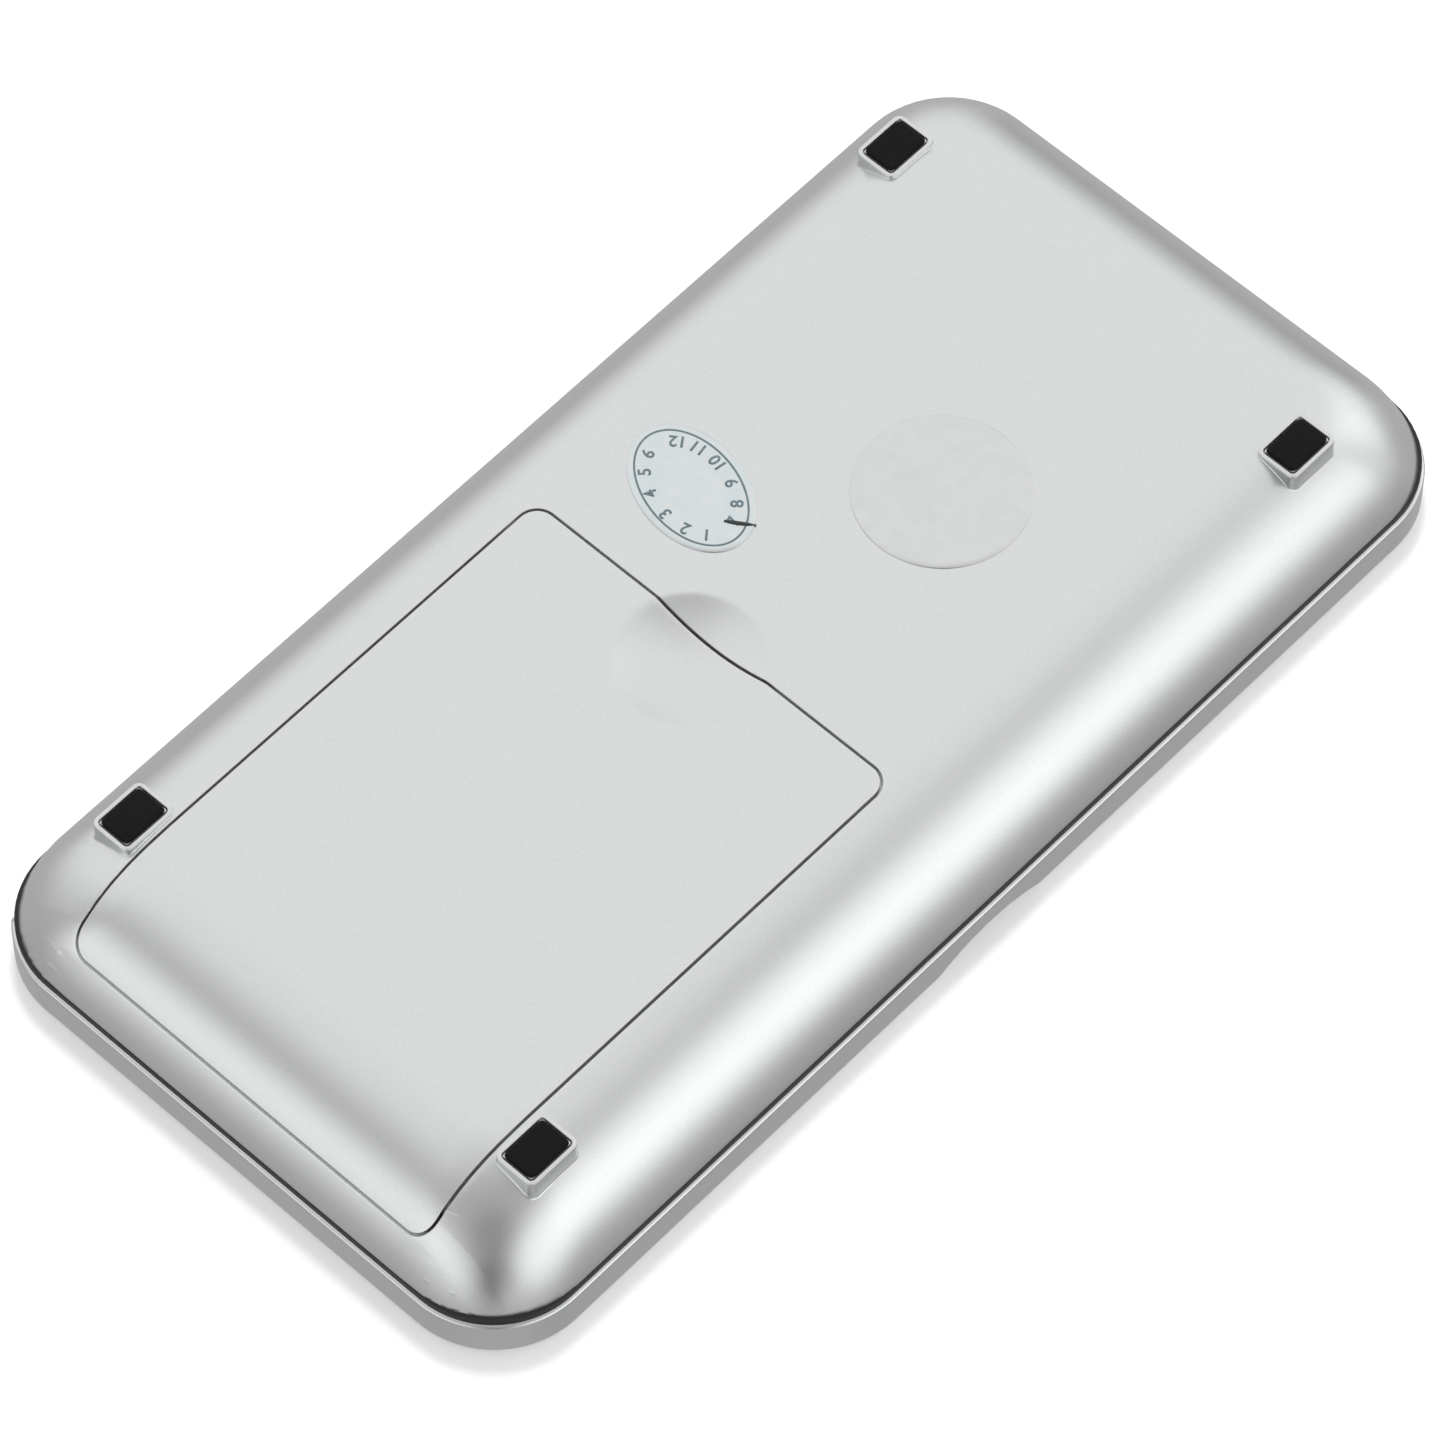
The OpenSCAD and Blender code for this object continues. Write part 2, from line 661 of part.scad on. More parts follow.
// Things of a bay, drawn for a cell whose button points to -X and turned about for the other bay
module in_bay(s) {
    if (s < 0) translate([bay_x0, -cell_y, cell_z]) children();
    else translate([bay_x1, cell_y, cell_z]) rotate([0, 0, 180]) children();
}

module cell(s) color("steelblue") in_bay(s) rotate([0, 90, 0]) {
    translate([0, 0, cell_at + button_h]) cylinder(r = cell_d / 2, h = cell_l - button_h);
    translate([0, 0, cell_at]) cylinder(r = button_d / 2, h = button_h + fit);
}
module cell_front() cell(-1);
module cell_rear() cell(1);

// A contact plate with the tab that reaches the main board
module contact(x) {
    translate([x, -plate_w / 2, -plate_h / 2]) cube([plate_t, plate_w, plate_h]);
    translate([x, 0, board_z + board_t - cell_z]) cube([plate_t, cell_y - board_w / 2 + tab_reach, 1.4]);
}
module plus_plate(s) color("gold") in_bay(s) {
    contact(fit);
    translate([fit, 0, 0]) rotate([0, 90, 0]) cylinder(r = 2.4, h = cell_at - 2 * fit);
}
module plus_plate_front() plus_plate(-1);
module plus_plate_rear() plus_plate(1);
module minus_plate(s) color("gold") in_bay(s) contact(bay_x1 - bay_x0 - plate_t - fit);
module minus_plate_front() minus_plate(-1);
module minus_plate_rear() minus_plate(1);

// A conical coil along X between the cell's flat end and the plate
module cell_spring(s) color("lightgray") in_bay(s) {
    x0 = cell_at + cell_l + coil_wire;
    run = bay_x1 - bay_x0 - plate_t - 2 * fit - coil_wire - x0;
    n = coil_turns * 20;
    polyhedron(
        points = [for (i = [0 : n], j = [0 : 7])
            let (t = i / n, r = 1.8 + 1.7 * t, a = 360 * coil_turns * t,
                rise = min(1, max(0, 1.5 * t - 0.25)))
            [x0 + rise * run + coil_wire * sin(45 * j),
             (r + coil_wire * cos(45 * j)) * cos(a), (r + coil_wire * cos(45 * j)) * sin(a)]],
        faces = concat(
            [for (i = [0 : n - 1], j = [0 : 7])
                [i * 8 + j, (i + 1) * 8 + j, (i + 1) * 8 + (j + 1) % 8, i * 8 + (j + 1) % 8]],
            [[for (j = [0 : 7]) j], [for (j = [7 : -1 : 0]) n * 8 + j]])
    );
}
module cell_spring_front() cell_spring(-1);
module cell_spring_rear() cell_spring(1);

module weighing_platform() color("whitesmoke") translate([pan_x, 0, 0]) difference() {
    plate(pan_l, pan_w, pan_corner, pan_top - pan_skirt, pan_top);
    plate(pan_l - 2 * pan_t, pan_w - 2 * pan_t, pan_corner - pan_t, pan_top - pan_skirt - over,
        pan_top - pan_t);
}

module platform_carrier() color("gray") difference() {
    union() {
        translate([pan_x, 0, 0])
            plate(pan_l - 2 * carrier_side, pan_w - 2 * carrier_side, pan_corner - 1,
                carrier_top - carrier_t, carrier_top);
        translate([free_x - block_l / 2, -beam_w / 2, beam_top + fit])
            cube([block_l, beam_w, carrier_top - carrier_t / 2 - beam_top - fit]);
    }
    for (s = [-1, 1]) translate([free_x + s * beam_screw_pitch / 2, 0, 0]) {
        translate([0, 0, beam_top - over]) cylinder(r = beam_screw_r + shank_gap, h = 2 * carrier_top);
        translate([0, 0, carrier_top - cheese_h - fit]) cylinder(r = cheese_r + shank_gap, h = 2 * over);
    }
}

module cheese_screw(x, under, end) translate([x, 0, 0]) difference() {
    union() {
        translate([0, 0, under]) cylinder(r = cheese_r, h = cheese_h);
        translate([0, 0, end]) cylinder(r = beam_screw_r, h = under + fit - end);
    }
    translate([-cheese_r - over, -0.25, under + cheese_h - 0.4]) cube([2 * cheese_r + 2 * over, 0.5, over]);
}
module carrier_screws() color("lightgray")
    for (s = [-1, 1])
        cheese_screw(free_x + s * beam_screw_pitch / 2, carrier_top - cheese_h - fit, beam_z + 1);
module load_cell_screws() color("lightgray")
    for (s = [-1, 1])
        cheese_screw(fixed_x + s * beam_screw_pitch / 2, beam_top, flat_z + wall / 2 + 0.4);
module overload_screw() color("lightgray")
    translate([free_x, 0, flat_z + 0.7]) cylinder(r = 0.75, h = beam_z - pan_travel - 0.1 - flat_z - 0.7);

module load_cell() color("gainsboro") difference() {
    translate([beam_x - beam_l / 2, -beam_w / 2, beam_z]) cube([beam_l, beam_w, beam_h]);
    for (s = [-1, 1])
        translate([beam_x + s * beam_bore_pitch / 2, beam_w / 2 + over, beam_z + beam_h / 2])
            rotate([90, 0, 0]) cylinder(r = beam_bore_r, h = beam_w + 2 * over);
    translate([beam_x - beam_bore_pitch / 2, -beam_w / 2 - over, beam_z + beam_h / 2 - beam_slot / 2])
        cube([beam_bore_pitch, beam_w + 2 * over, beam_slot]);
    for (x = [free_x, fixed_x], s = [-1, 1])
        translate([x + s * beam_screw_pitch / 2, 0, beam_z - over])
            cylinder(r = beam_screw_r + fit, h = beam_h + 2 * over);
}

module strain_gauges() color("orange")
    for (s = [-1, 1], z = [beam_z - gauge_t, beam_top])
        translate([beam_x + s * beam_bore_pitch / 2 - gauge_l / 2, -gauge_w / 2, z])
            cube([gauge_l, gauge_w, gauge_t]);

// A round lead from a chain of points, straight runs with round bends
module lead(r, path) {
    for (i = [1 : len(path) - 1]) {
        d = path[i] - path[i - 1];
        translate(path[i - 1]) rotate([0, acos(d[2] / norm(d)), atan2(d[1], d[0])])
            cylinder(r = r, h = norm(d), $fn = 16);
        if (i < len(path) - 1) translate(path[i]) sphere(r = 1.05 * r, $fn = 16);
    }
}
module load_cell_lead() color("firebrick") {
    y = beam_w / 2 + lead_r;
    z = light_z + lead_r;
    lead(lead_r, [[beam_x + 4, y, beam_top - 1.2], [fixed_x + block_l / 2 + 3, y, beam_top - 1.2],
                  [fixed_x + block_l / 2 + 6, y, z], [lcd_x - lcd_l / 2 - 2, y, z]]);
}

module main_board() color("darkgreen")
    translate([board_x0, -board_w / 2, board_z]) cube([board_x1 - board_x0, board_w, board_t]);
module chip_cover() color("black") translate([lcd_x, 0, board_z - chip_h])
    cylinder(r1 = 0.8 * chip_r, r2 = chip_r, h = chip_h);
module crystal() color("silver")
    translate([lcd_x + crystal_off, 0, board_z - crystal_r]) rotate([0, 90, 0])
        cylinder(r = crystal_r, h = crystal_l);
module lcd_backlight() color("white")
    translate([lcd_x - lcd_l / 2, -lcd_w / 2 + zebra_w + 0.2, light_z])
        cube([lcd_l, lcd_w - zebra_w - 0.2, light_t]);
module lcd_connector() color("pink")
    translate([lcd_x - lcd_l / 2, -lcd_w / 2, light_z]) cube([lcd_l, zebra_w, light_t]);
module lcd_glass() color("darkseagreen")
    translate([lcd_x - lcd_l / 2, -lcd_w / 2, glass_z]) cube([lcd_l, lcd_w, glass_t]);
module display_window() color([0.8, 0.85, 0.85])
    translate([lcd_x, 0, 0])
        plate(window_l, window_w, 0.75, deck_top + face_t - window_t, deck_top + face_t);

module face_plate() color("slategray") difference() {
    translate([(face_x0 + face_x1) / 2, 0, 0])
        plate(face_x1 - face_x0, face_w, face_corner, deck_top, deck_top + face_t);
    translate([lcd_x, 0, 0])
        plate(window_l + 2 * fit, window_w + 2 * fit, 0.8, deck_top - over, deck_top + 2 * over);
    for (k = [0 : 4])
        translate([key_at(k), -key_y, 0])
            plate(key_l + 2 * key_hole, key_w + 2 * key_hole, key_r + key_hole, deck_top - over,
                deck_top + 2 * over);
}

module key_board() color("darkgreen")
    translate([key_board_x0, -key_board_y1, board_z])
        cube([key_board_x1 - key_board_x0, key_board_y1 - key_board_y0, board_t]);
module key_ribbon() color("sienna") translate([ribbon_x, 0, light_z]) {
    start = -board_w / 2 + tab_reach + 0.4;
    translate([0, start, 0]) cube([board_x0 - ribbon_x + 2, ribbon_w, ribbon_t]);
    translate([0, -key_y - ribbon_w / 2, 0])
        cube([ribbon_w, start + ribbon_w + key_y + ribbon_w / 2, ribbon_t]);
    translate([0, -key_y - ribbon_w / 2, 0]) cube([key_board_x0 - ribbon_x + 0.8, ribbon_w, ribbon_t]);
}

function key_at(k) = key_x + (k - 2) * key_pitch;
module key(k) color("lightsteelblue") translate([key_at(k), -key_y, 0]) {
    plate(key_l, key_w, key_r, key_flange_z, deck_top + face_t + key_proud);
    plate(key_l + 2 * key_flange, key_w + 2 * key_flange, key_r + key_flange, key_flange_z,
        key_flange_z + key_flange_t);
    translate([0, 0, stem_z]) cylinder(r = 1.3, h = key_flange_z + fit - stem_z);
}
module key_power() key(0);
module key_tare() key(1);
module key_mode() key(2);
module key_count() key(3);
module key_light() key(4);

module plunger(k) color("white") translate([key_at(k), -key_y, light_z + 1.2])
    cylinder(r = plunger_r, h = stem_z - light_z - 1.2);
module plunger_power() plunger(0);
module plunger_tare() plunger(1);
module plunger_mode() plunger(2);
module plunger_count() plunger(3);
module plunger_light() plunger(4);

module switch(k) color("dimgray") translate([key_at(k), -key_y, light_z]) difference() {
    translate([-switch_w / 2, -switch_w / 2, 0]) cube([switch_w, switch_w, switch_h]);
    translate([0, 0, 0.7]) cylinder(r = plunger_r + 0.3, h = switch_h);
}
module switch_power() switch(0);
module switch_tare() switch(1);
module switch_mode() switch(2);
module switch_count() switch(3);
module switch_light() switch(4);

module date_label() color("lightsteelblue")
    translate([oval_x, oval_y, flat_z - label_t]) rotate([0, 0, oval_turn])
        linear_extrude(label_t) scale([oval_b / oval_a, 1]) circle(r = oval_a);
module round_label() color("white")
    translate([round_label_x, round_label_y, flat_z - label_t]) cylinder(r = round_label_r, h = label_t);

bottom_shell();
battery_door();
deck();
lid();
hinge_pin_left();
hinge_pin_right();
foot_pad_front_left();
foot_pad_rear_left();
foot_pad_front_right();
foot_pad_rear_right();
case_screw_front_left();
case_screw_rear_left();
case_screw_front_right();
case_screw_rear_right();
cell_front();
cell_rear();
plus_plate_front();
plus_plate_rear();
minus_plate_front();
minus_plate_rear();
cell_spring_front();
cell_spring_rear();
weighing_platform();
platform_carrier();
carrier_screws();
load_cell();
strain_gauges();
load_cell_screws();
overload_screw();
load_cell_lead();
main_board();
chip_cover();
crystal();
lcd_backlight();
lcd_glass();
lcd_connector();
display_window();
face_plate();
key_board();
key_ribbon();
key_power();
key_tare();
key_mode();
key_count();
key_light();
plunger_power();
plunger_tare();
plunger_mode();
plunger_count();
plunger_light();
switch_power();
switch_tare();
switch_mode();
switch_count();
switch_light();
date_label();
round_label();
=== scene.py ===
import json
import math

import bmesh
import bpy
import numpy as np
from mathutils import Matrix, Vector


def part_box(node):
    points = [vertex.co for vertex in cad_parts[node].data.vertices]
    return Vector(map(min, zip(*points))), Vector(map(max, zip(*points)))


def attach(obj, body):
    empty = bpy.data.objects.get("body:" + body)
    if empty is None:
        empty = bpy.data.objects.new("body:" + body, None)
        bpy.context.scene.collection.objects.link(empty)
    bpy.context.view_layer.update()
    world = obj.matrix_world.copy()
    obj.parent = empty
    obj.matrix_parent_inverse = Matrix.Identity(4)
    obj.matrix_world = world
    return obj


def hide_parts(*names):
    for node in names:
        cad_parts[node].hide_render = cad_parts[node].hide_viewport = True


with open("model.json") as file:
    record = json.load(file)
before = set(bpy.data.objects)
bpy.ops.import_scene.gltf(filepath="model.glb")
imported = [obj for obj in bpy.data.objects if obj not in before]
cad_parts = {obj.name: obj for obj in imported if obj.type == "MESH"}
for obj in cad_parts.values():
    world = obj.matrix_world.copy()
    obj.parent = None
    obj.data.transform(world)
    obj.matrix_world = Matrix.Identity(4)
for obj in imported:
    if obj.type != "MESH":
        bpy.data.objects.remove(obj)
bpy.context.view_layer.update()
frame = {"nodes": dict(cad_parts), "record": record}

nodes = frame["nodes"]
mm = 0.001
print("frame loaded:", len(nodes), "nodes")


def boxMm(node):  # a node's lowest and highest corners, in millimetres
    low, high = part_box(node)
    return np.array(low) / mm, np.array(high) / mm


# The scale lies on its lid, and is looked at from below its battery end
camera = {
    "azimuth": -42.98, "elevation": 57.85,  # degrees
    "distance": 733.55, "across": -0.957, "up": -9.023, "lens": 203.79, "sensor": 36,  # mm
    "nearest": 0.01, "farthest": 20,  # m
}


def placeCamera(look):  # three crossed unit vectors give the camera's axes
    az, el = math.radians(look["azimuth"]), math.radians(look["elevation"])
    back = Vector((math.cos(el) * math.cos(az), math.cos(el) * math.sin(az), -math.sin(el)))
    right = Vector((0, 0, -1)).cross(back).normalized()
    up = back.cross(right)
    lens = bpy.data.cameras.new("camera")
    lens.lens = look["lens"]
    lens.sensor_width = look["sensor"]
    lens.clip_start, lens.clip_end = look["nearest"], look["farthest"]
    body = bpy.data.objects.new("camera", lens)
    at = (back * look["distance"] + right * look["across"] + up * look["up"]) * mm
    rows = [(right[i], up[i], back[i], at[i]) for i in range(3)]
    body.matrix_world = Matrix(rows + [(0, 0, 0, 1)])
    bpy.context.scene.collection.objects.link(body)
    bpy.context.scene.camera = body


placeCamera(camera)
bpy.context.scene.view_settings.view_transform = "Standard"


def linear(hexColour):  # sRGB hex to linear light
    channels = [int(hexColour[i:i + 2], 16) / 255 for i in (1, 3, 5)]
    return tuple(c / 12.92 if c <= 0.04045 else ((c + 0.055) / 1.055) ** 2.4 for c in channels) + (1.0,)


# Adds one shader node: settings are its properties, links its linked inputs and values its plain inputs,
# both by name or place
def addNode(tree, kind, settings=None, links=None, values=None):
    node = tree.nodes.new(kind)
    for key, value in (settings or {}).items():
        setattr(node, key, value)
    for group, plain in ((values or {}, True), (links or {}, False)):
        for key, value in group.items():
            socket = node.inputs[key] if isinstance(key, int) else next(
                s for s in node.inputs if s.name == key and s.enabled)
            if plain:
                socket.default_value = value
            else:
                tree.links.new(value, socket)
    return node


def emptyMaterial(name):
    material = bpy.data.materials.new(name)
    material.use_nodes = True
    material.node_tree.nodes.clear()
    return material, material.node_tree


# What a finish has where it says nothing else; sizes are in millimetres
usualFinish = {"metallic": 0.0, "ior": 1.5, "transmission": 0.0, "stretch": (1, 1, 1), "grainMm": 0.3,
               "cloudMm": 18, "roughDrift": 0.02, "bump": 0.1, "bumpMm": 0.02}
noiseFrom, noiseTo = 0.3, 0.7  # most of a noise pattern lies between these


# A finish: two colours mixed by a fine grain, roughness that drifts with a broad cloud, a bump from the grain
def finishMaterial(name, ownLook):
    look = {**usualFinish, "colourTo": ownLook["colour"], **ownLook}
    material, tree = emptyMaterial(name)
    place = addNode(tree, "ShaderNodeTexCoord").outputs["Object"]
    place = addNode(tree, "ShaderNodeMapping", links={"Vector": place},
                    values={"Scale": look["stretch"]}).outputs["Vector"]
    grain = addNode(tree, "ShaderNodeTexNoise", links={"Vector": place},
                    values={"Scale": 1 / mm / look["grainMm"], "Detail": 3.0, "Roughness": 0.6}).outputs["Fac"]
    cloud = addNode(tree, "ShaderNodeTexNoise", links={"Vector": place},
                    values={"Scale": 1 / mm / look["cloudMm"], "Detail": 2.0}).outputs["Fac"]
    share = addNode(tree, "ShaderNodeMapRange", links={"Value": grain},
                    values={"From Min": noiseFrom, "From Max": noiseTo}).outputs["Result"]
    colour = addNode(tree, "ShaderNodeMix", {"data_type": "RGBA"}, {"Factor": share},
                     {6: linear(look["colour"]), 7: linear(look["colourTo"])}).outputs[2]
    rough = addNode(tree, "ShaderNodeMapRange", links={"Value": cloud},
                    values={"From Min": noiseFrom, "From Max": noiseTo,
                            "To Min": look["rough"] - look["roughDrift"],
                            "To Max": look["rough"] + look["roughDrift"]}).outputs["Result"]
    bump = addNode(tree, "ShaderNodeBump", links={"Height": grain},
                   values={"Strength": look["bump"], "Distance": look["bumpMm"] * mm}).outputs["Normal"]
    shader = addNode(tree, "ShaderNodeBsdfPrincipled",
                     links={"Base Color": colour, "Roughness": rough, "Normal": bump},
                     values={"Metallic": look["metallic"], "IOR": look["ior"],
                             "Transmission Weight": look["transmission"]})
    addNode(tree, "ShaderNodeOutputMaterial", links={"Surface": shader.outputs["BSDF"]})
    material.diffuse_color = linear(look["colour"])
    return material


finishes = {
    # ABS moulding under a silver lacquer: fine aluminium flakes in a clear binder mirror the room softly,
    # so that it goes from near white to dark grey round a roll; the flakes are drawn four times too coarse
    "silverLacqueredAbs": {"colour": "#D9DBDA", "colourTo": "#E0E2E1", "metallic": 0.92, "rough": 0.29,
                           "grainMm": 0.2, "cloudMm": 25, "bump": 0.05, "bumpMm": 0.02, "roughDrift": 0.01},
    # black ABS from a spark-eroded mould: dull, a little grey where it catches light
    "texturedBlackAbs": {"colour": "#0E0E0F", "colourTo": "#161617", "rough": 0.5, "grainMm": 0.25,
                         "bump": 0.3},
    # moulded rubber: dull black with a dusty tone and small pits
    "mouldedRubber": {"colour": "#060606", "colourTo": "#0E0E0D", "rough": 0.85, "ior": 1.35, "grainMm": 0.35,
                      "bump": 0.5, "bumpMm": 0.05},
    # drawn wire of pins and springs: bright, with a soft mirror
    "drawnSteelWire": {"colour": "#B4B4B2", "colourTo": "#C4C4C2", "metallic": 1.0, "rough": 0.25},
    # zinc on steel screws: grey, a little cloudy
    "zincPlatedSteel": {"colour": "#9C9EA2", "colourTo": "#B6B8BA", "metallic": 1.0, "rough": 0.38,
                        "grainMm": 0.2},
    "shrinkSleevedCell": {"colour": "#1D3A5C", "colourTo": "#23456C", "rough": 0.3, "grainMm": 0.5},  # glossy
    # nickel on spring strip: warm grey, fairly bright
    "nickelPlatedStrip": {"colour": "#B9B4A4", "colourTo": "#C8C3B4", "metallic": 1.0, "rough": 0.3,
                          "grainMm": 0.2},
    # stainless sheet brushed along its length: long fine scratches that pull highlights out sideways
    "brushedStainless": {"colour": "#B4B6B8", "colourTo": "#CCCED0", "metallic": 1.0, "rough": 0.32,
                         "grainMm": 0.16, "stretch": (0.02, 1, 1), "bump": 0.25, "bumpMm": 0.01},
    "mouldedAbs": {"colour": "#2A2A2B", "colourTo": "#323233", "rough": 0.5},  # charcoal, satin
    # milled aluminium: faint cutter lines along the beam
    "milledAluminium": {"colour": "#B8BABC", "colourTo": "#C8CACC", "metallic": 1.0, "rough": 0.35,
                        "grainMm": 0.2, "stretch": (0.05, 1, 1), "bump": 0.3, "bumpMm": 0.01},
    "polyimideFilm": {"colour": "#8A5A1C", "colourTo": "#9C6A28", "rough": 0.25, "grainMm": 0.4},  # amber
    "insulatedWire": {"colour": "#8E1E1C", "colourTo": "#9E2A26", "rough": 0.42},  # red PVC sleeve
    # epoxy glass laminate under solder mask: green and glassy
    "solderMaskedLaminate": {"colour": "#124A2A", "colourTo": "#1A5A36", "rough": 0.3, "grainMm": 0.5},
    "epoxyDrop": {"colour": "#0A0A0A", "colourTo": "#121212", "rough": 0.2, "grainMm": 0.5},  # shiny blob
    "drawnNickelCan": {"colour": "#C2C2BE", "colourTo": "#D0D0CC", "metallic": 1.0, "rough": 0.22},
    "acrylicLightGuide": {"colour": "#DADCDC", "colourTo": "#E4E6E6", "rough": 0.3},  # milky white
    # a reflective liquid crystal cell, switched off: grey-green, very finely mottled
    "liquidCrystalCell": {"colour": "#8B9484", "colourTo": "#929B8B", "rough": 0.35, "grainMm": 0.15},
    # zebra strip: silicone with black and pink stripes across its length
    "stripedSilicone": {"colour": "#5A3A38", "colourTo": "#C29A94", "rough": 0.6, "stretch": (1, 0.02, 0.02)},
    # polished acrylic window: clear, with a sharp mirror
    "clearAcrylic": {"colour": "#F4F6F6", "rough": 0.06, "transmission": 0.95, "ior": 1.49, "bump": 0.02},
    # polyester sheet printed on its back: dark slate under a smooth gloss
    "backPrintedSheet": {"colour": "#34383E", "colourTo": "#3A3E44", "rough": 0.22, "grainMm": 0.4,
                         "bump": 0.05},
    "flexibleCircuit": {"colour": "#7A4A16", "colourTo": "#8A5820", "rough": 0.35},  # copper under amber film
    # moulded key tops: satin grey with a fine grain
    "keyAbs": {"colour": "#8E939A", "colourTo": "#9A9FA6", "rough": 0.4, "grainMm": 0.25, "bump": 0.15},
    "acetal": {"colour": "#D8D8D4", "colourTo": "#E2E2DE", "rough": 0.4},  # waxy off-white
    "switchNylon": {"colour": "#1C1C1C", "colourTo": "#262626", "rough": 0.5},  # black, dull
    # thin clear film over the paint: lets the silver through, a shade bluer, a shade duller
    "datePrintFilm": {"colour": "#D6DFE1", "colourTo": "#DFE3E3", "metallic": 0.92, "rough": 0.31,
                      "grainMm": 1.6, "bump": 0.03},
    "sealFilm": {"colour": "#D7D9D8", "colourTo": "#DCDEDD", "metallic": 0.92, "rough": 0.3,
                 "grainMm": 1.4, "bump": 0.04},
    "slateInk": {"colour": "#5C6E74", "colourTo": "#6E8086", "rough": 0.5, "grainMm": 0.4},  # printed, matt
    "penInk": {"colour": "#1E2420", "colourTo": "#2C322E", "rough": 0.4, "grainMm": 0.3},  # marker stroke
    "paleInk": {"colour": "#C4C8CC", "colourTo": "#CDD1D4", "rough": 0.5, "grainMm": 0.4},  # printed, matt
}
slotFinish = {
    "silver_case": "silverLacqueredAbs", "black_abs": "texturedBlackAbs", "pin_steel": "drawnSteelWire",
    "foot_rubber": "mouldedRubber", "screw_steel": "zincPlatedSteel", "cell_jacket": "shrinkSleevedCell",
    "contact_metal": "nickelPlatedStrip", "spring_steel": "drawnSteelWire", "stainless": "brushedStainless",
    "carrier_plastic": "mouldedAbs", "beam_aluminium": "milledAluminium", "gauge_film": "polyimideFilm",
    "lead_insulation": "insulatedWire", "board_laminate": "solderMaskedLaminate", "chip_epoxy": "epoxyDrop",
    "crystal_can": "drawnNickelCan", "light_guide": "acrylicLightGuide", "display_glass": "liquidCrystalCell",
    "zebra_rubber": "stripedSilicone", "window_clear": "clearAcrylic", "face_print": "backPrintedSheet",
    "flex_film": "flexibleCircuit", "key_plastic": "keyAbs", "plunger_plastic": "acetal",
    "switch_plastic": "switchNylon", "date_paper": "datePrintFilm", "clear_film": "sealFilm",
}
made = {name: finishMaterial(name, look) for name, look in finishes.items()}
for part in frame["record"]["subparts"]:
    materials = nodes[part["node"]].data.materials
    materials.clear()
    materials.append(made[slotFinish[part["material_slot"]]])
print("finishes:", len(made))


bevelSteps, bevelAngle = 3, 50  # an edge is rounded where it turns by more than this many degrees


# Joins grids (points in mm, faces) into one smooth mesh, welds their shared edges and hands the piece over
def makePiece(name, parts, body, finish, weld=0.0005, wall=None, bevel=None, replaced=()):
    mesh = bpy.data.meshes.new(name)
    starts = np.cumsum([0] + [len(points) for points, faces in parts[:-1]])
    faces = [tuple(int(i) + int(start) for i in face)
             for (points, ownFaces), start in zip(parts, starts) for face in ownFaces]
    mesh.from_pydata((np.concatenate([points for points, ownFaces in parts]) * mm).tolist(), [], faces)
    joined = bmesh.new()
    joined.from_mesh(mesh)
    bmesh.ops.remove_doubles(joined, verts=joined.verts, dist=weld * mm)
    bmesh.ops.dissolve_degenerate(joined, edges=joined.edges, dist=weld * 0.1 * mm)
    joined.to_mesh(mesh)
    joined.free()
    mesh.polygons.foreach_set("use_smooth", np.ones(len(mesh.polygons), bool))
    mesh.materials.append(made[finish])
    piece = bpy.data.objects.new(name, mesh)
    bpy.context.scene.collection.objects.link(piece)
    if wall:
        thick = piece.modifiers.new("wall", "SOLIDIFY")
        thick.thickness = wall * mm
        thick.offset = -1
        thick.use_even_offset = True
    if bevel:
        edge = piece.modifiers.new("edge", "BEVEL")
        edge.width = bevel * mm
        edge.segments = bevelSteps
        edge.limit_method = "ANGLE"
        edge.angle_limit = math.radians(bevelAngle)
    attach(piece, body)
    if replaced:
        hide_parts(*replaced)


# Quads of a grid of rows x columns points; closed joins the last column to the first, flip turns faces over
def gridFaces(rows, columns, closed=False, flip=False):
    span = columns if closed else columns - 1
    r, c = np.meshgrid(np.arange(rows - 1), np.arange(span), indexing="ij")
    a, b = r * columns + c, r * columns + (c + 1) % columns
    quads = np.stack([a, b, b + columns, a + columns], -1).reshape(-1, 4)
    return quads[:, ::-1] if flip else quads


# Points anticlockwise round a rectangle with round corners: four quarter circles, and steps along each side
def roundRect(halfX, halfY, radius, perCorner=16, alongX=2, alongY=2):
    turn = np.linspace(0, math.pi / 2, perCorner)
    corners = []
    for sx, sy, quarter in ((1, 1, 0), (-1, 1, 1), (-1, -1, 2), (1, -1, 3)):
        a = turn + quarter * math.pi / 2
        corners.append(np.stack([sx * (halfX - radius) + radius * np.cos(a),
                                 sy * (halfY - radius) + radius * np.sin(a)], -1))
    loop = []
    for quarter, corner in enumerate(corners):
        steps = np.linspace(0, 1, (alongY if quarter % 2 else alongX) + 2)[1:-1, None]
        loop += [corner, corner[-1] * (1 - steps) + corners[(quarter + 1) % 4][0] * steps]
    return np.concatenate(loop)


# A profile of (inset, height) pairs carried round a rounded rectangle; caps close the first and last loops
def ringSweep(mid, half, cornerR, profile, perCorner=9, capStart=False, capEnd=False, minR=0.02, flip=False):
    insets, heights = np.array(profile, float).T
    loops = []
    for inset, height in zip(insets, heights):
        plan = roundRect(half[0] - inset, half[1] - inset, max(cornerR - inset, minR), perCorner)
        loops.append(np.concatenate([plan + mid[:2], np.full((len(plan), 1), height)], 1))
    count = len(loops[0])
    faces = [tuple(f) for f in gridFaces(len(loops), count, closed=True, flip=flip)]
    way = -1 if flip else 1
    if capStart:
        faces.append(tuple(range(count))[::-way])
    if capEnd:
        faces.append(tuple(range((len(loops) - 1) * count, len(loops) * count))[::way])
    return np.concatenate(loops), faces


nearlyIn = 0.9  # how far in a flat face's innermost loop lies, as a share of the half width


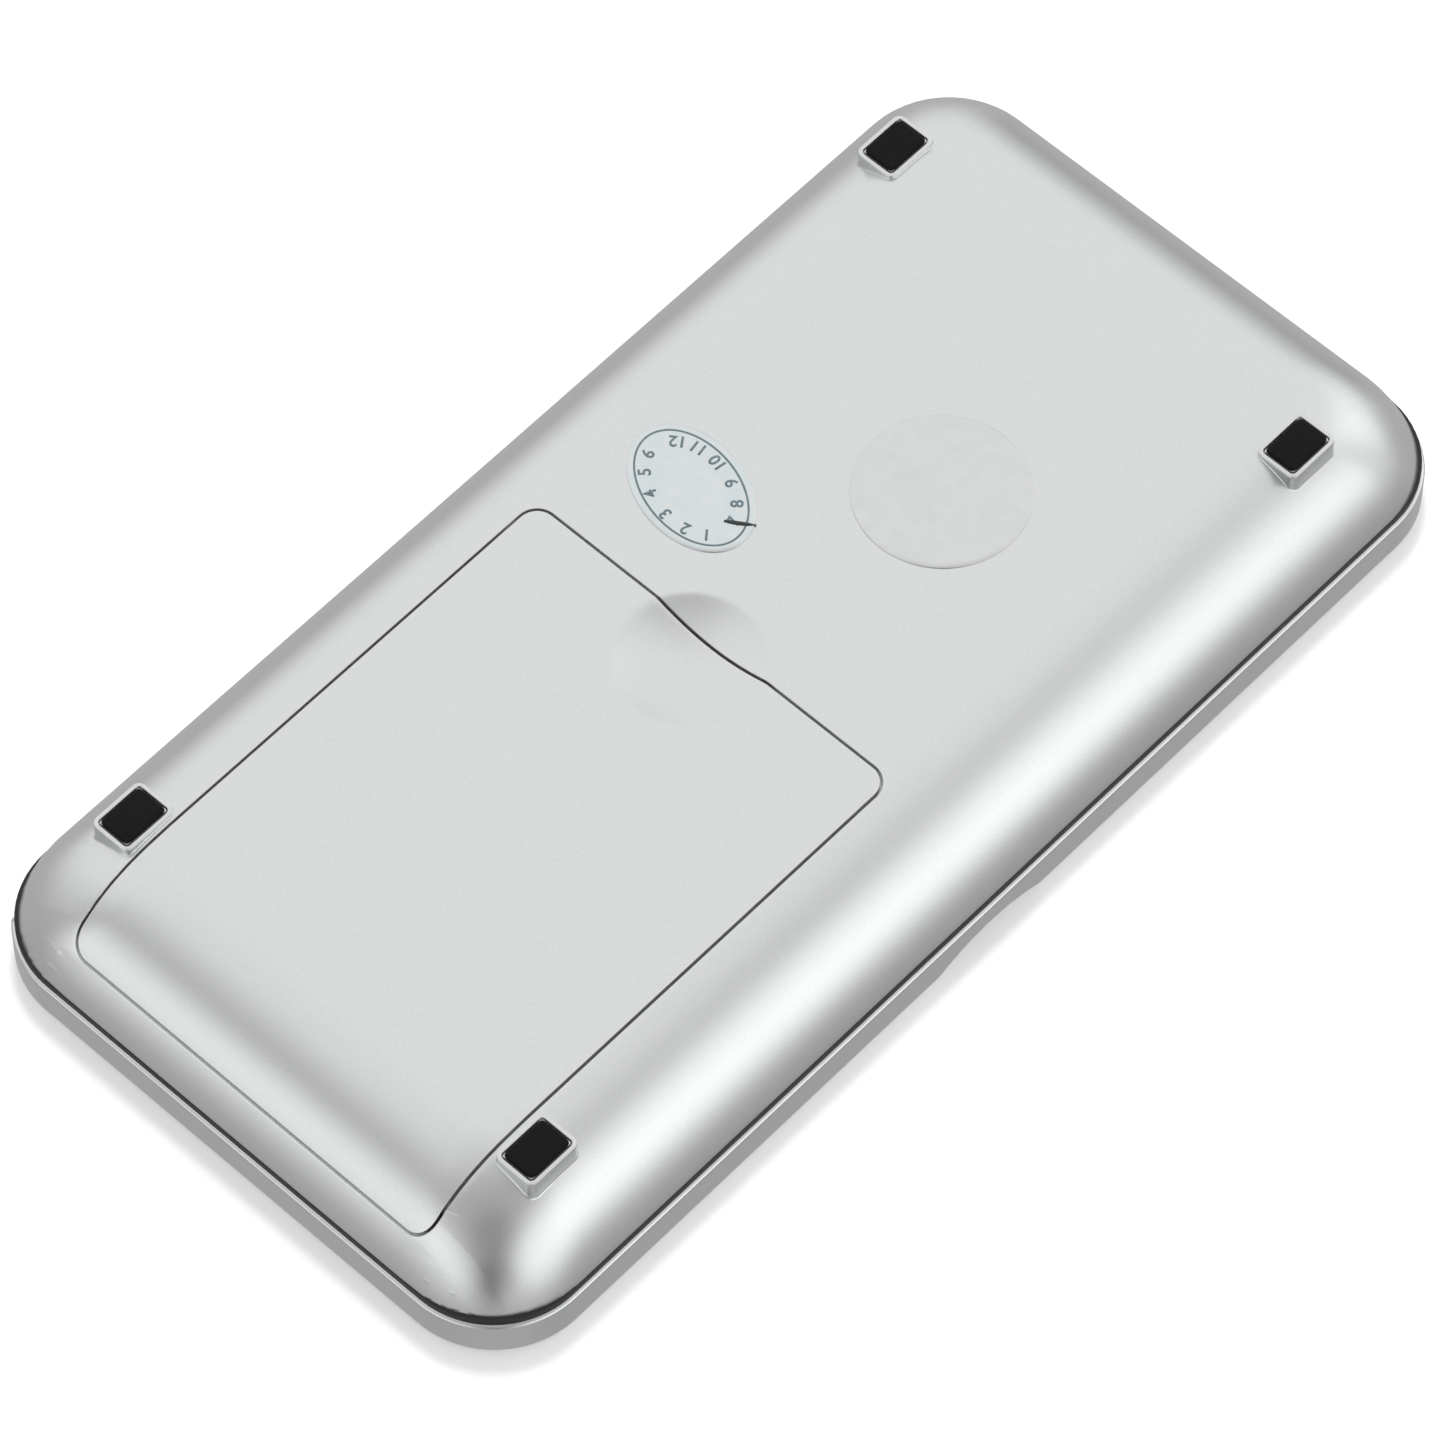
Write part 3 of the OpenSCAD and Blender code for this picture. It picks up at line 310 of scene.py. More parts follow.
# A quarter circle from upright to flat, as (inset, drop) pairs: r (1 - cosine) in and r (1 - sine) down
def quarterRound(radius, steps):
    turn = np.linspace(0, math.pi / 2, steps)
    return radius * (1 - np.cos(turn)), radius * (1 - np.sin(turn))


# A block with round upright edges and softened top and bottom edges
def softBlock(low, high, cornerR, soft):
    low, high = np.array(low, float), np.array(high, float)
    mid, half = (low + high) / 2, (high - low) / 2
    inset, drop = quarterRound(soft, 5)
    flat = half[:2].min() * nearlyIn
    profile = [(flat, low[2]), *zip(drop, low[2] + inset), *zip(inset, high[2] - drop), (flat, high[2])]
    return ringSweep(mid, half, cornerR, profile, 7, capStart=True, capEnd=True)


# The bottom shell is a tray whose edges roll up as a quarter ellipse to a seam
lidHigh = boxMm("lid")[1]
case = {
    "halfX": lidHigh[0], "halfY": lidHigh[1], "cornerR": 10.5, "edgeIn": 0.4,
    "rollA": 12.5, "rollB": 15.5, "shellH": 9.9, "flatZ": 0.5, "flatCornerR": 5.0,
    "proud": 0.04,  # how far the skins stand off the solids
}
# the thumb scoop is a shallow bowl; the grids' lines stand close together this far to each side of its centre
scoop = {"x": 5.5, "radius": 7.3, "depth": 1.66, "bowl": 1.06, "close": 8.0}
rimCos = math.sqrt(1 - (1 - case["shellH"] / case["rollB"]) ** 2)  # the ellipse's cosine at the seam
flatInset = case["edgeIn"] + case["rollA"] * rimCos  # where the roll meets the flat


# Height over the flat at a distance inside the outline: b (1 - sine), with the sine from a (rimCos - cosine)
def rollHeight(inset):
    cosine = np.clip(rimCos - (inset - case["edgeIn"]) / case["rollA"], 0, 1)
    return case["rollB"] * (1 - np.sqrt(1 - cosine ** 2))


def rollInset(height):  # the ellipse the other way round
    return case["edgeIn"] + case["rollA"] * (rimCos - np.sqrt(1 - (1 - height / case["rollB"]) ** 2))


# Halving, for whole arrays: narrows low and high to where the test stops holding, and gives the middle
def halve(low, high, holds, times):
    for _ in range(times):
        middle = (low + high) / 2
        held = holds(middle)
        low, high = np.where(held, middle, low), np.where(held, high, middle)
    return (low + high) / 2


# where the halvings begin and how long they go on: for the outline, and for the door's end edge
search = {"outside": 1.0, "inside": 12.0, "leastR": 0.5, "times": 36,
          "endFrom": 50.0, "endIn": 0.5, "endTimes": 30}


# Distance inside the outline, by halving: the inset whose round-cornered outline passes through the point
def planInset(x, y):
    slope = (case["cornerR"] - case["edgeIn"] - case["flatCornerR"]) / (flatInset - case["edgeIn"])

    def within(inset):  # is the point inside the outline drawn at this inset?
        radius = np.maximum(case["cornerR"] - case["edgeIn"] - slope * (inset - case["edgeIn"]),
                            search["leastR"])
        pastX = np.abs(x) - (case["halfX"] - inset - radius)
        pastY = np.abs(y) - (case["halfY"] - inset - radius)
        corner = np.hypot(np.maximum(pastX, 0), np.maximum(pastY, 0))
        return corner + np.minimum(np.maximum(pastX, pastY), 0) - radius < 0

    return halve(np.full(np.shape(x), -search["outside"]), np.full(np.shape(x), flatInset + search["inside"]),
                 within, search["times"])


# Height of the outer surface over a plan point: the roll, and the scoop's bowl, depth (1 - (r / R)^2)^bowl
def underside(x, y):
    share = np.maximum(1 - ((x - scoop["x"]) ** 2 + y ** 2) / scoop["radius"] ** 2, 0)
    return case["flatZ"] + rollHeight(planInset(x, y)) + scoop["depth"] * share ** scoop["bowl"]


slopeStep = 0.02  # mm to each side, over which a slope is taken


# Points of the skin over plan positions, stood off along the surface's own normal
def skinPoints(x, y):
    step = slopeStep
    z = underside(x, y)
    dx = (underside(x + step, y) - underside(x - step, y)) / (2 * step)
    dy = (underside(x, y + step) - underside(x, y - step)) / (2 * step)
    normal = np.stack([dx, dy, -np.ones_like(z)], -1)
    normal /= np.linalg.norm(normal, axis=-1, keepdims=True)
    return np.stack([x, y, z], -1) + normal * case["proud"]


door = {"x": 2.6, "half": 21.75, "corner": 2.0, "endH": 5.4, "wall": 1.16, "shrink": 0.04, "opening": 0.26,
        "edgeR": 0.13, "scoopSteps": 26, "flatSteps": 14, "rollSteps": 26, "rollEarly": 0.5}


# A round corner of the door at a width: r sqrt(1 - past^2), with past running 0 to 1 round the corner
def cornerArc(y, grow):
    half, radius = door["half"] + grow, door["corner"] + grow
    past = np.clip((np.abs(y) - (half - radius)) / radius, 0, 1)
    return radius, radius * np.sqrt(1 - past ** 2)


# Where the door's end edge lies at a width: a round-cornered line in elevation, taken down the roll by halving
def doorEnd(y, grow):
    radius, arc = cornerArc(y, grow)
    level = door["endH"] + case["flatZ"] + grow - radius + arc
    low, high = np.full(np.shape(y), search["endFrom"]), np.full(np.shape(y), case["halfX"] - search["endIn"])
    return halve(low, high, lambda x: case["flatZ"] + rollHeight(planInset(x, y)) < level, search["endTimes"])


def doorStart(y, grow):  # the door's inner edge, with its round corners in plan
    radius, arc = cornerArc(y, grow)
    return door["x"] - grow + radius - arc


# Widths from one side to the other: close together round the corners and across the scoop
def sideLevels(half, cornerR, middle=28, corner=14, between=7):
    outer = half - cornerR + cornerR * np.sin(np.linspace(0, math.pi / 2, corner))
    inner = np.linspace(scoop["close"], half - cornerR, between)[1:-1]
    across = np.linspace(-scoop["close"], scoop["close"], middle + 1)
    return np.concatenate([-outer[::-1], -inner[::-1], across, inner, outer])


# The core is the flat beside the door; the bend is where a side's walk turns round the battery end's corner
shell = {"wall": 0.5, "lipDepth": 0.8, "edgeR": 0.13, "weld": 0.01, "rollSteps": 22, "sideSteps": 30,
         "bendShare": 0.86, "bendTurn": 38, "endBend": 0.16, "endMiddle": 10,
         "coreCorner": 5.0, "coreOut": 1.0, "coreMiddle": 64,
         "farShare": 0.75, "farSteps": 16, "nearSteps": 62}
gap = door["opening"]
halfGap = door["half"] + gap
outX, outY = case["halfX"] - case["edgeIn"], case["halfY"] - case["edgeIn"]
outR = case["cornerR"] - case["edgeIn"]
farX, farY = outX - outR, outY - outR

# the flat beside the door: straight rows from a round-cornered left edge to the door opening's inner edge,
# with closer steps over the last part, where the scoop is
levels = sideLevels(halfGap, shell["coreCorner"], middle=shell["coreMiddle"])
past = np.maximum(np.abs(levels) - (halfGap - shell["coreCorner"]), 0)
leftX = -(case["halfX"] - flatInset + shell["coreOut"]) + shell["coreCorner"] - np.sqrt(
    np.maximum(shell["coreCorner"] ** 2 - past ** 2, 0))
rightX = doorStart(levels, gap)
nearShare = shell["farShare"] + (1 - shell["farShare"]) * np.linspace(0, 1, shell["nearSteps"])[1:]
share = np.concatenate([np.linspace(0, shell["farShare"], shell["farSteps"]), nearShare])
coreX = leftX[:, None] * (1 - share) + rightX[:, None] * share
coreY = np.repeat(levels[:, None], len(share), 1)
coreSkin = skinPoints(coreX, coreY)
# a lip straight up beside the door's inner edge, in two rows
lip = [coreSkin[:, -1:] + [0, 0, shell["lipDepth"] * k / 2] for k in (1, 2)]
coreSkin = np.concatenate([coreSkin] + lip, 1)
corePart = (coreSkin.reshape(-1, 3), gridFaces(*coreSkin.shape[:2], flip=True))

# the band from the outline in to that edge and to the door opening: an inner and an outer walk, point by point
run = np.linspace(0, 1, shell["sideSteps"])
startX = coreX[0][-1]
endLevels = sideLevels(halfGap, door["corner"] + gap, middle=shell["endMiddle"])
endXs = doorEnd(endLevels, gap)
bend = np.clip((run - shell["bendShare"]) / (1 - shell["bendShare"]), 0, 1) * math.radians(shell["bendTurn"])
innerFront = np.stack([startX + (endXs[0] - startX) * run, np.full(len(run), -halfGap)], -1)
straightX = startX + (farX - startX) * np.minimum(run / shell["bendShare"], 1)
outerFront = np.stack([straightX + outR * np.sin(bend), -outY + outR * (1 - np.cos(bend))], -1)
endShare = (endLevels + halfGap) / (2 * halfGap)
bendDone = np.minimum(np.minimum(endShare, 1 - endShare) / shell["endBend"], 1)
endTurn = math.radians(shell["bendTurn"]) + bendDone * math.radians(90 - shell["bendTurn"])
straight = np.clip((endShare - shell["endBend"]) / (1 - 2 * shell["endBend"]), 0, 1) * 2 - 1
innerEnd = np.stack([endXs, endLevels], -1)
outerEnd = np.stack([farX + outR * np.sin(endTurn),
                     straight * farY - np.where(endShare < 0.5, 1, -1) * outR * np.cos(endTurn)], -1)
backX = coreX[0][::-1]
innerBack = np.stack([backX, np.full(len(backX), -halfGap)], -1)
outerBack = np.stack([-farX + (startX + farX) * (backX - leftX[0]) / (startX - leftX[0]),
                      np.full(len(backX), -outY)], -1)
sideTurn = np.arcsin(np.clip(past / shell["coreCorner"], 0, 1))
innerSide = np.stack([leftX, levels], -1)
outerSide = np.stack([-farX - outR * np.cos(sideTurn),
                      np.clip(levels / (halfGap - shell["coreCorner"]), -1, 1) * farY
                      + np.sign(levels) * outR * np.sin(sideTurn)], -1)


# One closed walk: front side, battery end, rear side there and back, far end, front side back to its start
def walkRound(front, end, back, far):
    rear = [1, -1]
    return np.concatenate([front[:-1], end[:-1], (front[::-1] * rear)[:-1], (back * rear)[:-1], far[::-1][:-1],
                           back[::-1][:-1]])


innerLoop = walkRound(innerFront, innerEnd, innerBack, innerSide)
outerLoop = walkRound(outerFront, outerEnd, outerBack, outerSide)
turns = np.linspace(math.asin(1 - case["shellH"] / case["rollB"]), math.pi / 2, shell["rollSteps"])
shares = ((rimCos - np.cos(turns)) / rimCos)[:, None, None]  # even turns, so that steep parts stay smooth
band = outerLoop[None] * (1 - shares) + innerLoop[None] * shares
bandPart = (skinPoints(band[..., 0], band[..., 1]).reshape(-1, 3),
            gridFaces(len(shares), len(outerLoop), closed=True, flip=True))
makePiece("shell_skin", [corePart, bandPart], "base", "silverLacqueredAbs",
          weld=shell["weld"], wall=shell["wall"], bevel=shell["edgeR"])
print("shell skin:", len(outerLoop), "points round,", len(shares), "up the roll")

# The battery door: the same surface between its own four edges, columns close together on scoop and roll
doorLevels = sideLevels(door["half"] - door["shrink"], door["corner"] - door["shrink"])
doorLeft = doorStart(doorLevels, -door["shrink"])[:, None]
doorRight = doorEnd(doorLevels, -door["shrink"])[:, None]
scoopEnd, rollStart = scoop["x"] + scoop["close"], case["halfX"] - flatInset - door["rollEarly"]
doorX = np.concatenate([
    doorLeft + (scoopEnd - doorLeft) * np.linspace(0, 1, door["scoopSteps"])[:-1],
    np.repeat(np.linspace(scoopEnd, rollStart, door["flatSteps"])[None, :-1], len(doorLevels), 0),
    rollStart + (doorRight - rollStart) * np.sin(np.linspace(0, math.pi / 2, door["rollSteps"]))], 1)
doorY = np.repeat(doorLevels[:, None], doorX.shape[1], 1)
doorPart = (skinPoints(doorX, doorY).reshape(-1, 3), gridFaces(*doorX.shape, flip=True))
makePiece("battery_door_panel", [doorPart], "battery_door", "silverLacqueredAbs",
          wall=door["wall"], bevel=door["edgeR"], replaced=("battery_door",))

# Two tongues on the door's end edge reach up behind the shell's edge
tongue = {"y": 15.0, "width": 5.0, "thick": 0.8, "in": 2.1, "rise": 1.2, "root": 1.4, "cornerR": 0.3,
          "edgeR": 0.15}
tongueTop = case["flatZ"] + door["endH"]
tongueX = case["halfX"] - rollInset(door["endH"]) - tongue["in"]
tongueHalf = tongue["width"] / 2
makePiece("battery_door_tongues", [
    softBlock((tongueX - tongue["thick"], side * tongue["y"] - tongueHalf, tongueTop - tongue["root"]),
              (tongueX, side * tongue["y"] + tongueHalf, tongueTop + tongue["rise"]),
              tongue["cornerR"], tongue["edgeR"])
    for side in (-1, 1)], "battery_door", "silverLacqueredAbs")
print("battery door done")

# Feet: a raised painted rim round each pocket, from the roll up, over and in, and a rubber pad with soft edges
foot = {"rim": 0.64, "cornerR": 0.8, "leastR": 0.15, "top": 0.22, "pocket": 0.06, "pocketDepth": 0.8,
        "edgeR": 0.26, "lipR": 0.12, "edgeSteps": 6, "root": 0.2, "rootRows": 7, "rootShare": 0.9,
        "rootLeast": 0.01, "sunk": 0.02, "padCornerR": 0.32, "padSoft": 0.2}


# The profile across the rim: flared root, outer quarter circle, inner quarter circle, pocket wall
def footRim(low, high):
    inset, drop = quarterRound(foot["edgeR"], foot["edgeSteps"])
    inner = foot["rim"] - foot["pocket"]
    turn = np.linspace(0, math.pi / 2, foot["edgeSteps"])[::-1]
    profile = [(-foot["root"], 0.0)] * foot["rootRows"]
    profile += list(zip(inset, foot["top"] + drop))
    profile += list(zip(inner - foot["lipR"] * np.cos(turn), foot["top"] + foot["lipR"] * (1 - np.sin(turn))))
    profile += [(inner, foot["pocketDepth"])]
    points, faces = ringSweep((low + high) / 2, (high - low) / 2 + foot["rim"], foot["cornerR"], profile,
                              minR=foot["leastR"], flip=True)
    # the wall's root flares on to the roll by a quarter circle, no taller than the wall
    rows = points.reshape(len(profile), -1, 3)
    wall = rows[foot["rootRows"]].copy()
    outward = (rows[0, :, :2] - wall[:, :2]) / foot["root"]
    wallHeight = underside(wall[:, 0], wall[:, 1]) - wall[:, 2]
    flare = np.clip(foot["rootShare"] * wallHeight, foot["rootLeast"], foot["root"])
    for row, t in zip(rows, np.linspace(0, math.pi / 2, foot["rootRows"])):
        row[:, :2] = wall[:, :2] + outward * (flare * (1 - math.sin(t)))[:, None]
        row[:, 2] = underside(row[:, 0], row[:, 1]) - foot["sunk"] - flare * (1 - math.cos(t))
    return rows.reshape(-1, 3), faces


for pad in [n for n in nodes if n.startswith("foot_pad")]:
    low, high = boxMm(pad)
    makePiece(pad + "_rim", [footRim(low, high)], "base", "silverLacqueredAbs")
    makePiece(pad + "_rubber", [softBlock(low, high, foot["padCornerR"], foot["padSoft"])], "base",
              "mouldedRubber", replaced=(pad,))
print("feet done")

# The lid: a rim, a side, a rounded top edge and a flat top swept round, and a ball's cut for the thumb notch
lid = {"cornerR": 9.8, "edgeR": 0.8, "rimR": 0.34, "seamZ": 11.25, "wall": 0.35, "topLift": 0.02,
       "rearY": 30.4, "rearZ": 12.9, "rearSoft": 0.05,  # the side is cut short from here, over the hinge
       "rimIns": (1.0, 0.6), "sideFrom": 0.2, "sideTo": 0.1, "sideSteps": 12,
       "topFrom": 0.12, "topTo": 2.6, "topSteps": 12, "topIns": (4.0, 9.0), "nearTop": 0.05, "nearRim": 0.02,
       "notchX": 1.2, "notchL": 15.6, "notchD": 1.5, "notchReach": 9.6, "notchSteps": 61, "notchClear": 0.5}
lidHalf = np.array([lidHigh[0], lidHigh[1]])
notchBall = ((lid["notchL"] / 2) ** 2 + lid["notchD"] ** 2) / (2 * lid["notchD"])


# The outline anticlockwise, with its steps along the notch set close together
def lidWalk():
    loop = roundRect(lidHalf[0], lidHalf[1], lid["cornerR"], 28, 10, 6)
    frontY = -lidHalf[1] + 1e-6  # a point on the front side lies below this
    byNotch = np.abs(loop[:, 0] - lid["notchX"]) < lid["notchReach"] + lid["notchClear"]
    kept = loop[~((loop[:, 1] < frontY) & byNotch)]
    at = int(np.argmax((kept[:, 1] < frontY) & (kept[:, 0] > lid["notchX"])))
    close = lid["notchX"] + np.linspace(-lid["notchReach"], lid["notchReach"], lid["notchSteps"])
    return np.concatenate([kept[:at], np.stack([close, np.full(len(close), -lidHalf[1])], -1), kept[at:]])


# Moves an outline inwards along its own normals: straight sides shift, round corners shrink
def insetLoop(loop, inset, radius):
    outward = loop - np.clip(loop, -(lidHalf - radius), lidHalf - radius)
    outward /= np.maximum(np.linalg.norm(outward, axis=1, keepdims=True), 1e-9)
    return loop - outward * inset


# The lid's walk carried along its profile: rim, softened rim edge, side, rounded top edge, flat top
def lidGrid():
    walk = lidWalk()
    height = lidHigh[2] - lid["seamZ"]
    inset, drop = quarterRound(lid["edgeR"], 9)
    rimInset, rimDrop = quarterRound(lid["rimR"], 5)
    profile = [(i, 0.0) for i in lid["rimIns"]] + list(zip(rimDrop, rimInset))
    sideFrom, sideTo = lid["rimR"] + lid["sideFrom"], height - lid["edgeR"] - lid["sideTo"]
    profile += [(0.0, h) for h in np.linspace(sideFrom, sideTo, lid["sideSteps"])]
    profile += list(zip(inset, height - drop))
    profile += [(i, height) for i in np.linspace(lid["edgeR"] + lid["topFrom"], lid["topTo"], lid["topSteps"])]
    profile += [(i, height) for i in lid["topIns"]]
    cut = np.clip((walk[:, 1] - lid["rearY"]) / lid["rearSoft"], 0, 1) * (lid["rearZ"] - lid["seamZ"])
    loops = []
    for inset, rise in profile:
        z = lid["seamZ"] + np.maximum(rise, np.minimum(cut + min(rise, lid["rimR"]), height))
        loops.append(np.concatenate([insetLoop(walk, inset - case["proud"], lid["cornerR"]), z[:, None]], 1))
    points = np.concatenate(loops)
    # points inside the notch's ball slide in along the edge's diagonal until they lie on it
    off = (notchBall - lid["notchD"]) / math.sqrt(2)
    away = points - np.array([lid["notchX"], -lidHalf[1] - off, lidHigh[2] + off])
    diagonal = np.array([0, 1, -1]) / math.sqrt(2)
    along, squared = away @ diagonal, (away ** 2).sum(1)
    inside = squared < notchBall ** 2
    slide = np.sqrt(notchBall ** 2 - (squared - along ** 2)[inside]) - along[inside]
    points[inside] += diagonal * slide[:, None]
    # the top face lifts off the solid's, and the rim drops below it
    onTop = points[:, 2] > lidHigh[2] - lid["nearTop"]
    onRim = points[:, 2] < lid["seamZ"] + lid["nearRim"]
    points[:, 2] += lid["topLift"] * (1.0 * onTop - onRim)
    faces = [tuple(f) for f in gridFaces(len(profile), len(walk), closed=True)]
    faces.append(tuple(range((len(profile) - 1) * len(walk), len(profile) * len(walk))))
    return points, faces


makePiece("lid_skin", [lidGrid()], "lid", "silverLacqueredAbs", wall=lid["wall"])
print("lid done")

# An oval date label on the underside, with a printed ring and the months 1 to 12
dateLabel = {"x": -8.22, "y": 12.54, "major": 6.93, "minor": 4.39, "turn": 15.3, "film": 0.72, "thick": 0.1,
             "ringWidth": 0.2, "ringSteps": 128, "ink": 0.015,
             "digitSize": 1.7, "digitBold": 0.02, "digitShare": 0.81, "digitThick": 0.01, "digitSteps": 3,
             "firstHalf": (25.0, 157.0), "secondHalf": (-22.0, -153.0)}  # degrees round the ring
labelTurn = math.radians(dateLabel["turn"])
labelAlong = np.array([math.sin(labelTurn), -math.cos(labelTurn)])  # the long axis, towards its 1
labelAcross = np.array([math.cos(labelTurn), math.sin(labelTurn)])
labelMid = np.array([dateLabel["x"], dateLabel["y"]])
labelZ = case["flatZ"] - case["proud"]


# Loops of an ellipse at insets and heights; the ellipse's point at an angle is along cosine plus across sine
def ovalLoops(mid, along, across, major, minor, rows, steps=96, capEnd=False):
    t = np.linspace(0, 2 * math.pi, steps, endpoint=False)
    loops = []
    for inset, height in rows:
        plan = mid + np.outer((major - inset) * np.cos(t), along)
        plan = plan + np.outer((minor - inset) * np.sin(t), across)
        loops.append(np.concatenate([plan, np.full((steps, 1), height)], 1))
    faces = [tuple(f) for f in gridFaces(len(rows), steps, closed=True, flip=True)]
    if capEnd:
        faces.append(tuple(range((len(rows) - 1) * steps, len(rows) * steps))[::-1])
        faces.append(tuple(range(steps)))
    return np.concatenate(loops), faces


film = {"upright": 0.7, "lip": 0.03, "border": 0.6}  # share of the thickness, and mm in from the edge


def filmDisc(mid, along, across, major, minor, top, thick):  # a thin film with a softened lip, closed behind
    face = top - thick
    rows = [(0.0, top), (0.0, top - thick * film["upright"]), (film["lip"], face), (film["border"], face),
            (minor * nearlyIn, face)]
    return ovalLoops(mid, along, across, major, minor, rows, capEnd=True)


makePiece("date_label_film", [
    filmDisc(labelMid, labelAlong, labelAcross, dateLabel["major"] + dateLabel["film"],
             dateLabel["minor"] + dateLabel["film"], labelZ, dateLabel["thick"])],
          "base", "datePrintFilm", replaced=("date_label",))
inkTop = labelZ - dateLabel["thick"]
inkFace = inkTop - dateLabel["ink"]
lineHalf = dateLabel["ringWidth"] / 2
ringRows = [(-lineHalf, inkTop), (-lineHalf, inkFace), (lineHalf, inkFace), (lineHalf, inkTop)]
makePiece("date_label_ring", [
    ovalLoops(labelMid, labelAlong, labelAcross, dateLabel["major"], dateLabel["minor"], ringRows,
              dateLabel["ringSteps"])], "base", "slateInk")


# A word's filled outline as flat points and faces, centred, one unit high
def wordOutline(word):
    curve = bpy.data.curves.new("word", "FONT")
    curve.body, curve.size, curve.offset = word, 1, dateLabel["digitBold"]
    curve.align_x, curve.align_y = "CENTER", "CENTER"
    curve.resolution_u = dateLabel["digitSteps"]
    holder = bpy.data.objects.new("word", curve)
    mesh = bpy.data.meshes.new_from_object(holder)
    points = np.zeros(len(mesh.vertices) * 3)
    mesh.vertices.foreach_get("co", points)
    faces = [tuple(p.vertices) for p in mesh.polygons]
    bpy.data.objects.remove(holder)
    bpy.data.curves.remove(curve)
    bpy.data.meshes.remove(mesh)
    return points.reshape(-1, 3)[:, :2], faces


# The months stand round the ring: 1 to 6 with their heads outwards, 7 to 12 with their heads inwards
def monthNumbers():
    parts = []
    for month in range(1, 13):
        first = month <= 6
        start, stop = dateLabel["firstHalf" if first else "secondHalf"]
        a = math.radians(start + (stop - start) * ((month - 1) % 6) / 5)
        at = labelMid + (labelAlong * dateLabel["major"] * math.cos(a)
                         + labelAcross * dateLabel["minor"] * math.sin(a)) * dateLabel["digitShare"]
        outward = labelAlong * math.cos(a) / dateLabel["major"]
        outward = outward + labelAcross * math.sin(a) / dateLabel["minor"]
        outward /= np.linalg.norm(outward)
        head = outward if first else -outward
        read = np.array([-head[1], head[0]])  # read crossed with head points down, at the reader below
        flat, faces = wordOutline(str(month))
        plan = at + dateLabel["digitSize"] * (flat[:, :1] * read + flat[:, 1:] * head)
        parts.append((np.concatenate([plan, np.full((len(plan), 1), inkFace)], 1), faces))
    return parts


makePiece("date_label_numbers", monthNumbers(), "base", "slateInk",
          wall=dateLabel["digitThick"])

# A pen's tick across the ring, placed from the label's middle; its width swells and falls again
pen = {"from": (0.65, -4.66), "bend": (-0.1, -5.95), "to": (-1.02, -7.13), "width": 0.42, "thinnest": 0.35,
       "fullness": 0.6, "swellRate": 1.1, "swellFrom": 0.02, "steps": 24, "lift": 2.2, "thick": 0.02}


# A tapering ribbon along a quadratic curve: (1 - t)^2 a + 2 t (1 - t) b + t^2 c, a hair thick
def penStroke():
    t = np.linspace(0, 1, pen["steps"])[:, None]
    a, b, c = (np.array(pen[k]) for k in ("from", "bend", "to"))
    local = (1 - t) ** 2 * a + 2 * t * (1 - t) * b + t * t * c
    slope = 2 * (1 - t) * (b - a) + 2 * t * (c - b)
    normal = np.stack([-slope[:, 1], slope[:, 0]], -1) / np.linalg.norm(slope, axis=1, keepdims=True)
    swell = np.sin(math.pi * np.clip(t * pen["swellRate"] + pen["swellFrom"], 0, 1)) ** pen["fullness"]
    width = pen["width"] * (pen["thinnest"] + (1 - pen["thinnest"]) * swell) / 2
    plan = labelMid + np.stack([local - normal * width, local + normal * width], 1).reshape(-1, 2)
    height = inkTop - pen["lift"] * dateLabel["ink"]
    return np.concatenate([plan, np.full((len(plan), 1), height)], 1), gridFaces(pen["steps"], 2)


makePiece("date_label_tick", [penStroke()], "base", "penInk", wall=pen["thick"])

# The round seal: a thin clear film, as wide as the solid that it stands for
seal = {"thick": 0.08}
sealLow, sealHigh = boxMm("round_label")
sealMid, sealR = (sealLow + sealHigh) / 2, (sealHigh[0] - sealLow[0]) / 2
makePiece("round_label_film", [
    filmDisc(sealMid[:2], np.array([1.0, 0]), np.array([0, 1.0]), sealR, sealR, labelZ, seal["thick"])],
          "base", "sealFilm", replaced=("round_label",))
print("labels done")

# The weighing platform: a brushed steel tray turned down round its edge
pan = {"cornerR": 5.0, "edgeR": 0.6, "edgeSteps": 8, "wall": 0.58, "border": 2.0, "middle": 20.0}
panLow, panHigh = boxMm("weighing_platform")
inset, drop = quarterRound(pan["edgeR"], pan["edgeSteps"])
panProfile = [(0.0, panLow[2]), *zip(inset, panHigh[2] - drop), (pan["border"], panHigh[2]),
              (pan["middle"], panHigh[2])]
makePiece("weighing_platform_tray", [
    ringSweep((panLow + panHigh) / 2, (panHigh - panLow) / 2, pan["cornerR"], panProfile, 12, capEnd=True)],
          "platform", "brushedStainless", wall=pan["wall"], replaced=("weighing_platform",))
print("platform done")

# Key caps: rounded rectangles with soft rims and a shallow dish for the fingertip
cap = {"flange": 0.6, "cornerR": 1.0, "proud": 0.03, "edgeR": 0.22, "edgeSteps": 8, "skirt": 0.4,
       "dish": 0.07, "dishTo": 0.85, "dishSteps": 7}
inset, drop = quarterRound(cap["edgeR"], cap["edgeSteps"])
reach = np.linspace(0, 1, cap["dishSteps"])[1:]
for key in [n for n in nodes if n.startswith("key_") and n not in ("key_board", "key_ribbon")]:
    low, high = boxMm(key)
    mid, half = (low + high) / 2, (high - low) / 2 - cap["flange"] + cap["proud"]
    top = high[2] + cap["proud"]
    dishIn = cap["edgeR"] + (half[1] * cap["dishTo"] - cap["edgeR"]) * reach
    capProfile = [(0.0, top - cap["skirt"]), *zip(inset, top - drop),
                  *zip(dishIn, top - cap["dish"] * (1 - (1 - reach) ** 2))]
    makePiece(key + "_cap", [ringSweep(mid, half, cap["cornerR"], capProfile, capEnd=True)], key,
              "keyAbs")

